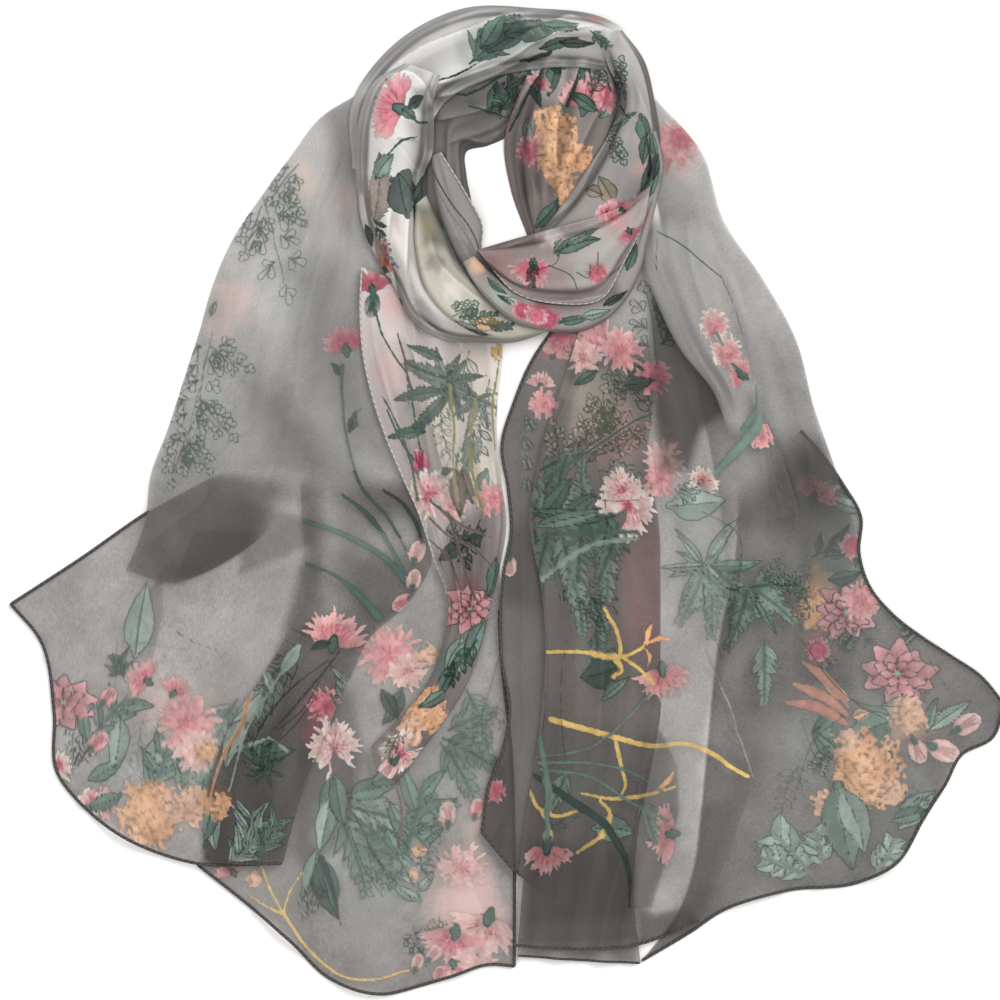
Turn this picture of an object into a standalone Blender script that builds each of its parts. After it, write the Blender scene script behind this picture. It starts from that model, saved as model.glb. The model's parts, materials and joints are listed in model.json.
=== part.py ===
"""A printed chiffon scarf, wound once round the neck and laid out flat on a surface.

The scarf is one length of cloth, and it is built as the stretches that show. A stretch is a short
table of sections, each one a straight line across the cloth from its left edge to its right edge,
with soft folds running along it. The stretches are laid down one after another, each on what
already lies there, 0.3 mm clear of it:

    wall    one layer of cloth, WALL thick, that follows its own folds
    bundle  gathered cloth whose hidden layers are one rounded body, layered at its two edges
    roll    a narrow twist or fold of cloth, rounded from edge to edge

Lengths in the tables are millimetres. +Z is up, the scarf rests on z = 0, the neck loop is at +Y.
"""

from collections import namedtuple

import bmesh
import bpy
import numpy as np

MM = 0.001

# Middle of the laid scarf's outline, in the tables' own measure: it becomes x = 0, y = 0.
MIDDLE_X = 1.5
MIDDLE_Y = -1.0

# The cloth as it is modelled: chiffon is thinner, and a wall of this size stands for it.
WALL = 1.4
GAP = 0.3

# A bundle shows its layers as steps along both edges: how far across each step stands, as a share
# of the width, how wide its slope is, and how high it rises.
LAYER_EDGES = (0.07, 0.15)
LAYER_SLOPE = 0.02
LAYER_RISE = 1.6

# Bundles and rolls grow thin where their ends tuck in under their neighbours.
TUCKED_SHARE = 0.3
TUCK_LENGTH = 0.16

# A fold that doesn't reach an end of its stretch fades out over this share of the length.
FADE_LENGTH = 0.15

# The map of how high the cloth already lies, and how finely a cell of a stretch is read from it.
MAP_HALF = 350.0
MAP_CELL = 0.8
SAMPLES = 26
SETTLE_PASSES = 6

Section = namedtuple("Section", "left_x left_y right_x right_y")
Hem = namedtuple("Hem", "x y")
Fold = namedtuple("Fold", "across_start across_end half_width height begins ends")
Stretch = namedtuple("Stretch", "name kind colour columns rows crown_start crown_end sections hem folds")

GREY = (0.36, 0.34, 0.33)
DARK_GREY = (0.16, 0.15, 0.15)
PALE_GREY = (0.52, 0.50, 0.49)
PALE_FLORAL = (0.66, 0.60, 0.58)
CREAM = (0.68, 0.63, 0.55)
FLORAL = (0.45, 0.36, 0.33)
ROSE_GREY = (0.30, 0.24, 0.24)

# ------------------------------------------------------------------ left tail, lowest layer first

LEFT_LOWER = Stretch(
    "left_lower", "wall", GREY, 14, 12, 0, 0,
    sections=[
        Section(-133, -27, -3, -27),
        Section(-147, -81, -3, -96),
        Section(-164, -134, 4, -165),
        Section(-187, -184, 6, -234),
        Section(-200, -238, 6, -304),
    ],
    hem=[Hem(-172, -260), Hem(-140, -287), Hem(-114, -312), Hem(-78, -322), Hem(-56, -317),
         Hem(-36, -311), Hem(-10, -303)],
    folds=[
        Fold(0.40, 0.30, 0.11, 6.0, 0.25, 1.0),
        Fold(0.66, 0.58, 0.12, 4.5, 0.35, 1.0),
        Fold(0.90, 0.84, 0.09, 3.5, 0.30, 1.0),
    ])

LEFT_WING = Stretch(
    "left_wing", "wall", GREY, 12, 12, 0, 0,
    sections=[
        Section(-182, 18, -114, 18),
        Section(-230, -8, -114, -69),
        Section(-275, -39, -136, -154),
        Section(-321, -69, -158, -238),
    ],
    hem=[Hem(-302, -92), Hem(-293, -139), Hem(-291, -178), Hem(-272, -202), Hem(-238, -225),
         Hem(-201, -237)],
    folds=[
        Fold(0.42, 0.30, 0.12, 3.5, 0.45, 0.95),
        Fold(0.80, 0.66, 0.11, 5.0, 0.35, 1.0),
    ])

LEFT_TONGUE = Stretch(
    "left_tongue", "wall", DARK_GREY, 8, 13, 0, 0,
    sections=[
        Section(-133, 18, -65, 18),
        Section(-132, -12, -53, -11),
        Section(-130, -41, -48, -42),
        Section(-132, -71, -64, -69),
        Section(-146, -97, -87, -90),
        Section(-162, -122, -101, -118),
        Section(-178, -147, -114, -147),
        Section(-189, -174, -126, -176),
        Section(-195, -204, -136, -206),
        Section(-195, -233, -144, -237),
    ],
    hem=[Hem(-170, -237)],
    folds=[
        Fold(0.28, 0.34, 0.22, 5.0, 0.20, 1.0),
        Fold(0.80, 0.76, 0.16, 3.5, 0.30, 1.0),
    ])

LEFT_OUTER = Stretch(
    "left_outer", "wall", GREY, 16, 14, 0, 0,
    sections=[
        Section(-93, 264, -83, 259),
        Section(-120, 247, -85, 232),
        Section(-140, 221, -87, 205),
        Section(-159, 195, -89, 178),
        Section(-177, 168, -90, 151),
        Section(-190, 138, -89, 125),
        Section(-199, 107, -86, 98),
        Section(-209, 76, -79, 72),
        Section(-219, 45, -73, 46),
        Section(-230, 15, -66, 20),
        Section(-234, -17, -58, -6),
        Section(-246, -47, -49, -31),
    ],
    hem=[Hem(-216, -55), Hem(-190, -46), Hem(-164, -30), Hem(-140, -11), Hem(-107, -11),
         Hem(-75, -24)],
    folds=[
        Fold(0.20, 0.16, 0.09, 4.0, 0.20, 0.95),
        Fold(0.46, 0.40, 0.10, 6.0, 0.12, 0.90),
        Fold(0.74, 0.70, 0.11, 5.0, 0.10, 1.0),
    ])

LEFT_INNER = Stretch(
    "left_inner", "wall", PALE_FLORAL, 12, 16, 0, 7,
    sections=[
        Section(-93, 150, -3, 114),
        Section(-94, 121, -2, 88),
        Section(-92, 93, -5, 62),
        Section(-86, 66, -5, 35),
        Section(-77, 39, -2, 9),
        Section(-66, 13, 1, -17),
        Section(-55, -12, -3, -44),
        Section(-46, -39, -9, -69),
        Section(-37, -65, -15, -95),
        Section(-40, -93, -24, -120),
        Section(-50, -120, -38, -143),
        Section(-67, -141, -54, -164),
        Section(-87, -161, -70, -185),
    ],
    hem=[Hem(-84, -174)],
    folds=[
        Fold(0.22, 0.26, 0.12, 4.0, 0.05, 0.60),
        Fold(0.55, 0.50, 0.14, 5.0, 0.00, 0.65),
        Fold(0.86, 0.80, 0.10, 3.5, 0.05, 0.60),
    ])

# ----------------------------------------------------------------- right tail, lowest layer first

RIGHT_CORNER = Stretch(
    "right_corner", "wall", GREY, 14, 13, 0, 0,
    sections=[
        Section(150, 12, 192, 44),
        Section(150, -20, 207, 27),
        Section(147, -51, 220, 8),
        Section(140, -82, 231, -12),
        Section(135, -114, 230, -36),
        Section(132, -145, 237, -58),
        Section(129, -176, 252, -76),
        Section(126, -208, 270, -90),
        Section(122, -239, 290, -103),
        Section(112, -269, 309, -116),
        Section(94, -295, 324, -134),
    ],
    hem=[Hem(120, -282), Hem(141, -268), Hem(182, -255), Hem(231, -249), Hem(255, -236),
         Hem(272, -208), Hem(285, -187), Hem(296, -167), Hem(317, -155)],
    folds=[
        Fold(0.34, 0.28, 0.10, 4.5, 0.50, 1.0),
        Fold(0.62, 0.56, 0.08, 6.0, 0.55, 1.0),
        Fold(0.84, 0.80, 0.07, 5.0, 0.45, 1.0),
    ])

RIGHT_STRIP = Stretch(
    "right_strip", "wall", DARK_GREY, 5, 14, 0, 0,
    sections=[
        Section(33, 112, 59, 112),
        Section(17, 88, 50, 82),
        Section(6, 62, 42, 51),
        Section(-2, 34, 38, 20),
        Section(2, 6, 36, -11),
        Section(4, -22, 37, -43),
        Section(-1, -50, 43, -74),
        Section(-3, -79, 46, -105),
        Section(-2, -107, 46, -136),
        Section(3, -135, 45, -168),
        Section(-1, -162, 40, -199),
        Section(-11, -189, 37, -230),
        Section(-15, -217, 33, -261),
    ],
    hem=[Hem(7, -242)],
    folds=[
        Fold(0.45, 0.40, 0.25, 2.5, 0.10, 1.0),
    ])

RIGHT_UNDER = Stretch(
    "right_under", "wall", FLORAL, 8, 14, 0, 0,
    sections=[
        Section(55, 105, 94, 105),
        Section(41, 67, 96, 64),
        Section(25, 29, 93, 24),
        Section(20, -12, 100, -17),
        Section(25, -52, 101, -58),
        Section(28, -93, 101, -99),
        Section(28, -134, 101, -140),
        Section(23, -175, 94, -180),
        Section(16, -215, 86, -220),
        Section(11, -256, 84, -261),
        Section(8, -297, 88, -302),
    ],
    hem=[Hem(49, -300)],
    folds=[
        Fold(0.30, 0.34, 0.16, 3.5, 0.10, 1.0),
        Fold(0.72, 0.70, 0.16, 4.0, 0.15, 1.0),
    ])

RIGHT_OUTER = Stretch(
    "right_outer", "wall", GREY, 11, 14, 0, 0,
    sections=[
        Section(88, 246, 98, 259),
        Section(97, 202, 128, 224),
        Section(106, 159, 142, 180),
        Section(116, 116, 167, 143),
        Section(125, 73, 189, 103),
        Section(134, 29, 201, 58),
        Section(141, -14, 216, 14),
        Section(144, -58, 229, -30),
        Section(143, -103, 224, -76),
        Section(138, -147, 223, -122),
        Section(132, -191, 213, -168),
        Section(127, -234, 196, -211),
        Section(120, -278, 176, -252),
    ],
    hem=[Hem(146, -263)],
    folds=[
        Fold(0.30, 0.24, 0.13, 3.5, 0.10, 1.0),
        Fold(0.64, 0.66, 0.12, 5.5, 0.10, 1.0),
    ])

RIGHT_FRONT = Stretch(
    "right_front", "wall", GREY, 16, 15, 0, 0,
    sections=[
        Section(49, 117, 120, 129),
        Section(37, 73, 145, 87),
        Section(23, 29, 171, 46),
        Section(16, -16, 188, 1),
        Section(24, -61, 197, -46),
        Section(26, -107, 196, -94),
        Section(22, -153, 179, -139),
        Section(15, -198, 161, -184),
        Section(9, -244, 145, -230),
        Section(6, -290, 127, -274),
    ],
    hem=[Hem(36, -292), Hem(88, -289)],
    folds=[
        Fold(0.12, 0.12, 0.08, 3.5, 0.10, 1.0),
        Fold(0.36, 0.34, 0.09, 5.0, 0.05, 1.0),
        Fold(0.62, 0.58, 0.09, 6.0, 0.10, 1.0),
        Fold(0.84, 0.86, 0.08, 4.5, 0.25, 1.0),
    ])

RIGHT_TWIST = Stretch(
    "right_twist", "wall", PALE_GREY, 8, 10, 7, 5,
    sections=[
        Section(94, 190, 135, 184),
        Section(89, 158, 144, 155),
        Section(99, 126, 150, 124),
        Section(114, 96, 158, 95),
        Section(135, 69, 164, 64),
        Section(146, 38, 159, 34),
    ],
    hem=[],
    folds=[
        Fold(0.30, 0.45, 0.18, 4.0, 0.00, 0.90),
    ])

# --------------------------------------------------------------------- neck loop, lowest layer first

NECK_INNER = Stretch(
    "neck_inner", "bundle", DARK_GREY, 7, 13, 5, 5,
    sections=[
        Section(-58, 184, -18, 164),
        Section(-57, 203, -20, 179),
        Section(-56, 222, -22, 194),
        Section(-53, 240, -25, 210),
        Section(-49, 259, -25, 225),
        Section(-38, 273, -11, 229),
        Section(-20, 279, 2, 236),
        Section(-3, 287, 6, 251),
        Section(15, 294, 17, 262),
        Section(33, 299, 28, 273),
    ],
    hem=[],
    folds=[
        Fold(0.62, 0.60, 0.16, 3.0, 0.10, 1.0),
    ])

INNER_LEFT = Stretch(
    "inner_left", "roll", GREY, 4, 9, 3, 3,
    sections=[
        Section(-48, 221, -42, 224),
        Section(-46, 204, -32, 208),
        Section(-43, 187, -23, 193),
        Section(-38, 171, -15, 177),
        Section(-31, 155, -15, 160),
        Section(-21, 142, -5, 145),
        Section(-8, 130, 8, 134),
    ],
    hem=[],
    folds=[])

RIGHT_INNER = Stretch(
    "right_inner", "bundle", FLORAL, 7, 11, 11, 8,
    sections=[
        Section(23, 292, 66, 304),
        Section(10, 263, 83, 272),
        Section(0, 232, 81, 236),
        Section(4, 201, 62, 205),
        Section(15, 170, 44, 173),
    ],
    hem=[],
    folds=[
        Fold(0.26, 0.30, 0.13, 3.5, 0.05, 0.95),
        Fold(0.58, 0.60, 0.14, 3.0, 0.05, 0.95),
    ])

RIGHT_STRAND = Stretch(
    "right_strand", "bundle", PALE_GREY, 7, 13, 9, 11,
    sections=[
        Section(62, 300, 76, 304),
        Section(66, 282, 90, 285),
        Section(75, 261, 97, 259),
        Section(67, 236, 101, 230),
        Section(53, 213, 98, 202),
        Section(38, 191, 79, 177),
        Section(21, 170, 54, 164),
    ],
    hem=[],
    folds=[
        Fold(0.30, 0.32, 0.16, 4.0, 0.10, 0.95),
        Fold(0.70, 0.68, 0.15, 3.0, 0.15, 0.95),
    ])

NECK_BACK = Stretch(
    "neck_back", "bundle", PALE_GREY, 6, 18, 12, 12,
    sections=[
        Section(-99, 214, -60, 205),
        Section(-100, 254, -52, 232),
        Section(-72, 295, -40, 255),
        Section(-28, 318, -9, 272),
        Section(22, 318, 25, 278),
        Section(60, 313, 52, 278),
        Section(81, 303, 68, 276),
    ],
    hem=[],
    folds=[
        Fold(0.30, 0.35, 0.14, 3.5, 0.00, 1.0),
        Fold(0.68, 0.70, 0.13, 3.0, 0.05, 0.95),
    ])

LEFT_STRAND = Stretch(
    "left_strand", "bundle", PALE_FLORAL, 7, 20, 14, 10,
    sections=[
        Section(-65, 281, -42, 273),
        Section(-85, 269, -46, 257),
        Section(-94, 248, -46, 240),
        Section(-97, 224, -47, 223),
        Section(-96, 201, -53, 208),
        Section(-93, 178, -53, 191),
        Section(-84, 156, -49, 175),
        Section(-72, 136, -42, 159),
        Section(-61, 115, -33, 146),
        Section(-41, 103, -20, 134),
        Section(-18, 101, -6, 125),
        Section(6, 101, 9, 120),
        Section(28, 108, 26, 117),
    ],
    hem=[],
    folds=[
        Fold(0.28, 0.26, 0.15, 4.5, 0.05, 0.95),
        Fold(0.66, 0.64, 0.13, 3.5, 0.05, 0.80),
    ])

CREAM_FOLD = Stretch(
    "cream_fold", "roll", CREAM, 5, 12, 5, 4,
    sections=[
        Section(-58, 190, -51, 196),
        Section(-58, 161, -41, 174),
        Section(-50, 133, -32, 152),
        Section(-30, 112, -15, 135),
        Section(-3, 102, 3, 119),
        Section(26, 107, 26, 112),
    ],
    hem=[],
    folds=[
        Fold(0.50, 0.50, 0.25, 2.5, 0.10, 0.90),
    ])

ROPE_ROLL = Stretch(
    "rope_roll", "roll", ROSE_GREY, 6, 20, 8, 8,
    sections=[
        Section(-20, 157, -28, 152),
        Section(-7, 141, -14, 131),
        Section(9, 127, 4, 115),
        Section(29, 120, 27, 108),
        Section(51, 120, 52, 109),
        Section(67, 133, 73, 122),
        Section(77, 152, 86, 142),
        Section(84, 172, 92, 166),
        Section(89, 193, 98, 190),
        Section(95, 213, 103, 214),
        Section(92, 234, 98, 238),
    ],
    hem=[],
    folds=[])

FRONT_BAND = Stretch(
    "front_band", "bundle", ROSE_GREY, 7, 12, 8, 8,
    sections=[
        Section(-18, 161, -12, 153),
        Section(5, 168, 7, 133),
        Section(29, 174, 35, 126),
        Section(52, 180, 62, 129),
        Section(74, 188, 77, 153),
        Section(94, 202, 90, 178),
    ],
    hem=[],
    folds=[
        Fold(0.30, 0.35, 0.20, 3.0, 0.10, 0.90),
        Fold(0.72, 0.70, 0.16, 2.5, 0.15, 0.85),
    ])

LAYING_ORDER = [
    LEFT_LOWER, LEFT_WING, LEFT_TONGUE, LEFT_OUTER, LEFT_INNER,
    RIGHT_CORNER, RIGHT_STRIP, RIGHT_UNDER, RIGHT_OUTER, RIGHT_FRONT, RIGHT_TWIST,
    NECK_INNER, INNER_LEFT, RIGHT_INNER, RIGHT_STRAND, NECK_BACK, LEFT_STRAND,
    CREAM_FOLD, ROPE_ROLL, FRONT_BAND,
]


# ------------------------------------------------------------------------------- plan of a stretch

def smooth_line(points, t):
    """Read a smooth line through the points at t, from 0 at its first point to 1 at its last."""
    points = np.asarray(points, float)
    steps = np.linalg.norm(np.diff(points, axis=0), axis=1)
    at = np.concatenate([[0.0], np.cumsum(steps)]) / steps.sum()
    slopes = np.gradient(points, at, axis=0) if len(points) > 2 else \
        np.repeat((points[1:] - points[:1]) / at[1], 2, axis=0)
    k = np.clip(np.searchsorted(at, t, side="right") - 1, 0, len(points) - 2)
    span = (at[k + 1] - at[k])[:, None]
    s = ((t - at[k])[:, None]) / span
    return ((1 + 2 * s) * (1 - s) ** 2 * points[k] + s * (1 - s) ** 2 * span * slopes[k]
            + s ** 2 * (3 - 2 * s) * points[k + 1] + s ** 2 * (s - 1) * span * slopes[k + 1])


def plan(stretch, across, along):
    """Place a grid in plan: the sections give its sides, and the hem bows its last row."""
    left = smooth_line([(s.left_x, s.left_y) for s in stretch.sections], along)
    right = smooth_line([(s.right_x, s.right_y) for s in stretch.sections], along)
    u = across[None, :, None]
    flat = left[:, None, :] * (1 - u) + right[:, None, :] * u
    if stretch.hem:
        hem = smooth_line([left[-1]] + [(h.x, h.y) for h in stretch.hem] + [right[-1]], across)
        flat = flat + (along ** 2)[:, None, None] * (hem - flat[-1])[None]
    return flat - (MIDDLE_X, MIDDLE_Y)


def ease(t):
    """A soft step from 0 to 1."""
    t = np.clip(t, 0.0, 1.0)
    return t * t * (3 - 2 * t)


def relief(stretch, across, along):
    """Height of the crown and the folds over the grid, in mm."""
    u = across[None, :]
    v = along[:, None]
    crown = stretch.crown_start * (1 - v) + stretch.crown_end * v
    height = crown * np.sqrt(np.clip(1 - (2 * u - 1) ** 2, 0, 1))
    for fold in stretch.folds:
        centre = fold.across_start * (1 - v) + fold.across_end * v
        off = np.clip(np.abs(u - centre) / fold.half_width, 0, 1)
        grows = ease((v - fold.begins) / FADE_LENGTH) if fold.begins > 0 else 1.0
        dies = ease((fold.ends - v) / FADE_LENGTH) if fold.ends < 1 else 1.0
        height = height + fold.height * (0.5 + 0.5 * np.cos(np.pi * off)) * grows * dies
    if stretch.kind == "wall":
        return height
    tucked = ease(np.minimum(v, 1 - v) / TUCK_LENGTH)
    return height * (TUCKED_SHARE + (1 - TUCKED_SHARE) * tucked)


# -------------------------------------------------------------------- laying one layer on another

class Heap:
    """How high the cloth lies so far, on a square map."""

    def __init__(self):
        cells = int(2 * MAP_HALF / MAP_CELL)
        self.top = np.zeros((cells, cells))
        s, t = np.meshgrid(np.linspace(0, 1, SAMPLES), np.linspace(0, 1, SAMPLES))
        self.s = s[:, :, None, None]
        self.t = t[:, :, None, None]

    def corners(self, grid):
        """The four corners of every cell of a grid."""
        return grid[:-1, :-1], grid[:-1, 1:], grid[1:, :-1], grid[1:, 1:]

    def spread(self, grid):
        """Points all over each cell of a grid, blended from its corners."""
        a, b, c, d = self.corners(grid)
        s, t = self.s, self.t
        return a * (1 - s) * (1 - t) + b * s * (1 - t) + c * (1 - s) * t + d * s * t

    def places(self, flat):
        """Map cells under points all over each cell of a grid."""
        return [((self.spread(flat[..., k]) + MAP_HALF) / MAP_CELL).astype(int) for k in (0, 1)]

    def clear_of(self, flat):
        """The lowest that each grid point may lie to clear all under the cells round it."""
        near = self.top.copy()
        for axis in (0, 1):
            near = np.maximum(near, np.maximum(np.roll(near, 1, axis), np.roll(near, -1, axis)))
        i, j = self.places(flat)
        under = near[i, j].max(axis=(0, 1))
        under = np.where(under > 0, under + GAP, 0.0)
        lowest = np.zeros(flat.shape[:2])
        for rows in (slice(0, -1), slice(1, None)):
            for cols in (slice(0, -1), slice(1, None)):
                lowest[rows, cols] = np.maximum(lowest[rows, cols], under)
        return lowest

    def cover(self, flat, top):
        """Raise the map to a new top surface, whichever way its cells are split in triangles."""
        a, b, c, d = self.corners(top)
        s, t = self.s, self.t
        one = np.where(s + t <= 1, a + s * (b - a) + t * (c - a), d + (1 - s) * (c - d) + (1 - t) * (b - d))
        two = np.where(s >= t, a + s * (b - a) + t * (d - b), a + t * (c - a) + s * (d - c))
        i, j = self.places(flat)
        np.maximum.at(self.top, (i, j), np.maximum(one, two))


def settle(lowest):
    """Let the cloth slope down softly from what it lies on, never below its lowest."""
    height = lowest.copy()
    for _ in range(SETTLE_PASSES):
        padded = np.pad(height, 1, mode="edge")
        mean = (padded[:-2, 1:-1] + padded[2:, 1:-1] + padded[1:-1, :-2] + padded[1:-1, 2:]) / 4
        height = np.maximum(lowest, mean)
    return height


# ------------------------------------------------------------------------------------- the solids

def columns_of(stretch):
    """Where the grid's columns stand, from 0 at the left edge to 1 at the right edge."""
    if stretch.kind != "bundle":
        return np.linspace(0.0, 1.0, stretch.columns + 1)
    steps = [edge + side for edge in LAYER_EDGES for side in (0.0, LAYER_SLOPE)]
    middle = np.linspace(steps[-1], 1 - steps[-1], stretch.columns + 1)
    return np.concatenate([[0.0], steps[:-1], middle, [1 - step for step in steps[-2::-1]], [1.0]])


def thickness(stretch, across, along):
    """Thickness over the grid: one wall, or a rounded body with steps along a bundle's edges."""
    if stretch.kind == "wall":
        return np.full((len(along), len(across)), WALL)
    if stretch.kind == "roll":
        return WALL + relief(stretch, across, along)
    inward = np.minimum(across, 1 - across)
    steps = sum(ease((inward - edge) / LAYER_SLOPE) for edge in LAYER_EDGES) * LAYER_RISE
    shoulder = LAYER_EDGES[-1] + LAYER_SLOPE
    inner = np.clip((across - shoulder) / (1 - 2 * shoulder), 0.0, 1.0)
    return WALL + steps[None, :] + relief(stretch, inner, along) * (inward >= shoulder - 1e-6)[None, :]


def material(name, colour):
    """A plain cloth finish in the stretch's own colour."""
    finish = bpy.data.materials.new(name + "_chiffon")
    finish.use_nodes = True
    shader = finish.node_tree.nodes["Principled BSDF"]
    shader.inputs["Base Color"].default_value = (*colour, 1.0)
    shader.inputs["Roughness"].default_value = 0.75
    shader.inputs["Metallic"].default_value = 0.0
    return finish


def lay(stretch, heap):
    """Lay one stretch on the heap and make its solid."""
    across = columns_of(stretch)
    along = np.linspace(0.0, 1.0, stretch.rows + 1)
    flat = plan(stretch, across, along)
    underside = settle(heap.clear_of(flat))
    if stretch.kind == "wall":
        underside = underside + relief(stretch, across, along)
    top = underside + thickness(stretch, across, along)
    heap.cover(flat, top)

    shape = bmesh.new()
    columns, rows = len(across) - 1, len(along) - 1
    bmesh.ops.create_grid(shape, x_segments=columns, y_segments=rows, size=1.0)
    sheet = list(shape.faces)
    bmesh.ops.reverse_faces(shape, faces=sheet)
    lifted = bmesh.ops.extrude_face_region(shape, geom=sheet)
    upper = {item for item in lifted["geom"] if isinstance(item, bmesh.types.BMVert)}
    for vert in shape.verts:
        i = round((vert.co.y + 1) / 2 * rows)
        j = round((vert.co.x + 1) / 2 * columns)
        z = top[i, j] if vert in upper else underside[i, j]
        vert.co = (flat[i, j, 0] * MM, flat[i, j, 1] * MM, z * MM)
    bmesh.ops.recalc_face_normals(shape, faces=shape.faces)

    mesh = bpy.data.meshes.new(stretch.name)
    shape.to_mesh(mesh)
    shape.free()
    mesh.shade_smooth()
    mesh.materials.append(material(stretch.name, stretch.colour))
    bpy.context.collection.objects.link(bpy.data.objects.new(stretch.name, mesh))


def main():
    for old in list(bpy.data.objects):
        bpy.data.objects.remove(old)
    heap = Heap()
    for stretch in LAYING_ORDER:
        lay(stretch, heap)


main()
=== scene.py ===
# %% [markdown]
# # A printed chiffon scarf, laid out flat
# The real thing is one length of sheer cloth, 160 cm by 50 cm, with a narrow rolled hem. It is wound
# once into a loop for the neck, and its two tails lie spread below it in soft, overlapping layers.
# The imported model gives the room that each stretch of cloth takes. Here every stretch becomes a
# single fine surface: the same sections, with finer creases, a printed dye and a sheer weave.

# %% Load the frame
import json
import math
from collections import namedtuple

import bmesh
import bpy
import numpy as np
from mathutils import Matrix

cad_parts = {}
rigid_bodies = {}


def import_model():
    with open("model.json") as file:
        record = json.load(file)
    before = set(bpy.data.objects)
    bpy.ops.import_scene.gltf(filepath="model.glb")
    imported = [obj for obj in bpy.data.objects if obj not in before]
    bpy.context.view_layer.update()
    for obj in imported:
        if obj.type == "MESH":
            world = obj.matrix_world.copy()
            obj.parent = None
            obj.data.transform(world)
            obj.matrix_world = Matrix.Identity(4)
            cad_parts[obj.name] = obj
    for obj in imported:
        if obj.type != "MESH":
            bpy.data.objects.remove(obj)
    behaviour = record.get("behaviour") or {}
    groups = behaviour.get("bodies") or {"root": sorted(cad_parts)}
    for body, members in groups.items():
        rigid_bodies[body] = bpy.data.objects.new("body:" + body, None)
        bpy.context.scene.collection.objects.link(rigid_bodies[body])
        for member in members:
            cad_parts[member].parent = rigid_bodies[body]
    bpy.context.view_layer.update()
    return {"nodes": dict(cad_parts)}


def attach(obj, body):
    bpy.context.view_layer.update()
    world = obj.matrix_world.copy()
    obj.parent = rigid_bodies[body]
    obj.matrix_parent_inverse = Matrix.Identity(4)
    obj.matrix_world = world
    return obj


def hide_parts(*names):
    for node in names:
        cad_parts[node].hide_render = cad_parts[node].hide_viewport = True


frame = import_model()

for leftover in ("Cube", "Light", "Camera"):
    if leftover in bpy.data.objects:
        bpy.data.objects.remove(bpy.data.objects[leftover])
print("nodes to dress:", len(frame["nodes"]))

# %% [markdown]
# ## Lines through the sections
# A stretch of cloth is described the way a pattern cutter marks it: straight sections across it,
# from its left edge to its right edge, a few centimetres apart. A smooth line through the left ends
# and another through the right ends give its two sides. Lengths in the tables are millimetres.

# %% Smooth lines and the plan of a stretch
MM = 0.001
MIDDLE = np.array([1.5, -1.0])


def smooth_line(points, t):
    """Read a smooth line through the points at t, from 0 at its first point to 1 at its last."""
    points = np.asarray(points, float)
    steps = np.linalg.norm(np.diff(points, axis=0), axis=1)
    at = np.concatenate([[0.0], np.cumsum(steps)]) / steps.sum()
    slopes = np.gradient(points, at, axis=0) if len(points) > 2 else \
        np.repeat((points[1:] - points[:1]) / at[1], 2, axis=0)
    k = np.clip(np.searchsorted(at, t, side="right") - 1, 0, len(points) - 2)
    span = (at[k + 1] - at[k])[:, None]
    s = ((t - at[k])[:, None]) / span
    return ((1 + 2 * s) * (1 - s) ** 2 * points[k] + s * (1 - s) ** 2 * span * slopes[k]
            + s ** 2 * (3 - 2 * s) * points[k + 1] + s ** 2 * (s - 1) * span * slopes[k + 1])


def ease(t):
    """A soft step from 0 to 1."""
    t = np.clip(t, 0.0, 1.0)
    return t * t * (3 - 2 * t)


def plan_of(sections, hem, across, along):
    """Place a grid in plan: the sections give its sides, and the hem bows its last row."""
    sections = np.array(sections, float)
    left = smooth_line(sections[:, :2], along)
    right = smooth_line(sections[:, 2:], along)
    u = across[None, :, None]
    flat = left[:, None, :] * (1 - u) + right[:, None, :] * u
    if len(hem):
        bow = smooth_line([left[-1]] + [list(h) for h in hem] + [right[-1]], across)
        flat = flat + (along ** 2)[:, None, None] * (bow - flat[-1])[None]
    return flat - MIDDLE


print("plan lines ready")

# %% [markdown]
# ## Laying cloth on cloth
# Chiffon is limp: it rests on whatever lies beneath it and slopes down softly beside it. A map of
# the heap's height is enough to work that out. Each stretch reads the map, relaxes over it like a
# skin that may only rise, and then adds its own height to the map for the next one.

# %% The heap and how cloth settles on it
MAP_HALF = 352.0
LAYER_RISE = 0.5
FLOOR_RISE = 0.35
SETTLE_STEPS = ((12, 5), (6, 6), (3, 8), (1, 10))


class Heap:
    """How high the cloth lies so far, on a square map of 1 mm cells."""

    def __init__(self):
        self.top = np.zeros((int(2 * MAP_HALF), int(2 * MAP_HALF)))

    def cells(self, flat):
        """Map cells under points of the plan."""
        return tuple((flat[..., k] + MAP_HALF).astype(int) for k in (0, 1))

    def under(self, flat):
        """The lowest that cloth may lie at points of the plan."""
        near = self.top.copy()
        for axis in (0, 1):
            near = np.maximum(near, np.maximum(np.roll(near, 1, axis), np.roll(near, -1, axis)))
        return near[self.cells(flat)] + FLOOR_RISE

    def cover(self, flat, top):
        """Raise the map to a new surface, between its grid points too."""
        surface = np.dstack([flat, top])
        rows = np.concatenate([surface, (surface[1:] + surface[:-1]) / 2])
        cells = np.concatenate([rows, (rows[:, 1:] + rows[:, :-1]) / 2], axis=1)
        np.maximum.at(self.top, self.cells(cells[..., :2]), cells[..., 2] + LAYER_RISE)


def spread(height, s):
    """Mean of the four neighbours that lie s steps away on a grid."""
    wide = np.pad(height, s, mode="edge")
    return (wide[:-2 * s, s:-s] + wide[2 * s:, s:-s] + wide[s:-s, :-2 * s] + wide[s:-s, 2 * s:]) / 4


def settle(lowest, steps=SETTLE_STEPS):
    """Let the cloth slope down softly from what it lies on, never below its lowest."""
    height = lowest.copy()
    for stride, passes in steps:
        for _ in range(passes):
            height = np.maximum(lowest, spread(height, stride))
    return height


heap = Heap()
print("map of", heap.top.shape[0], "x", heap.top.shape[1], "cells")

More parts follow.
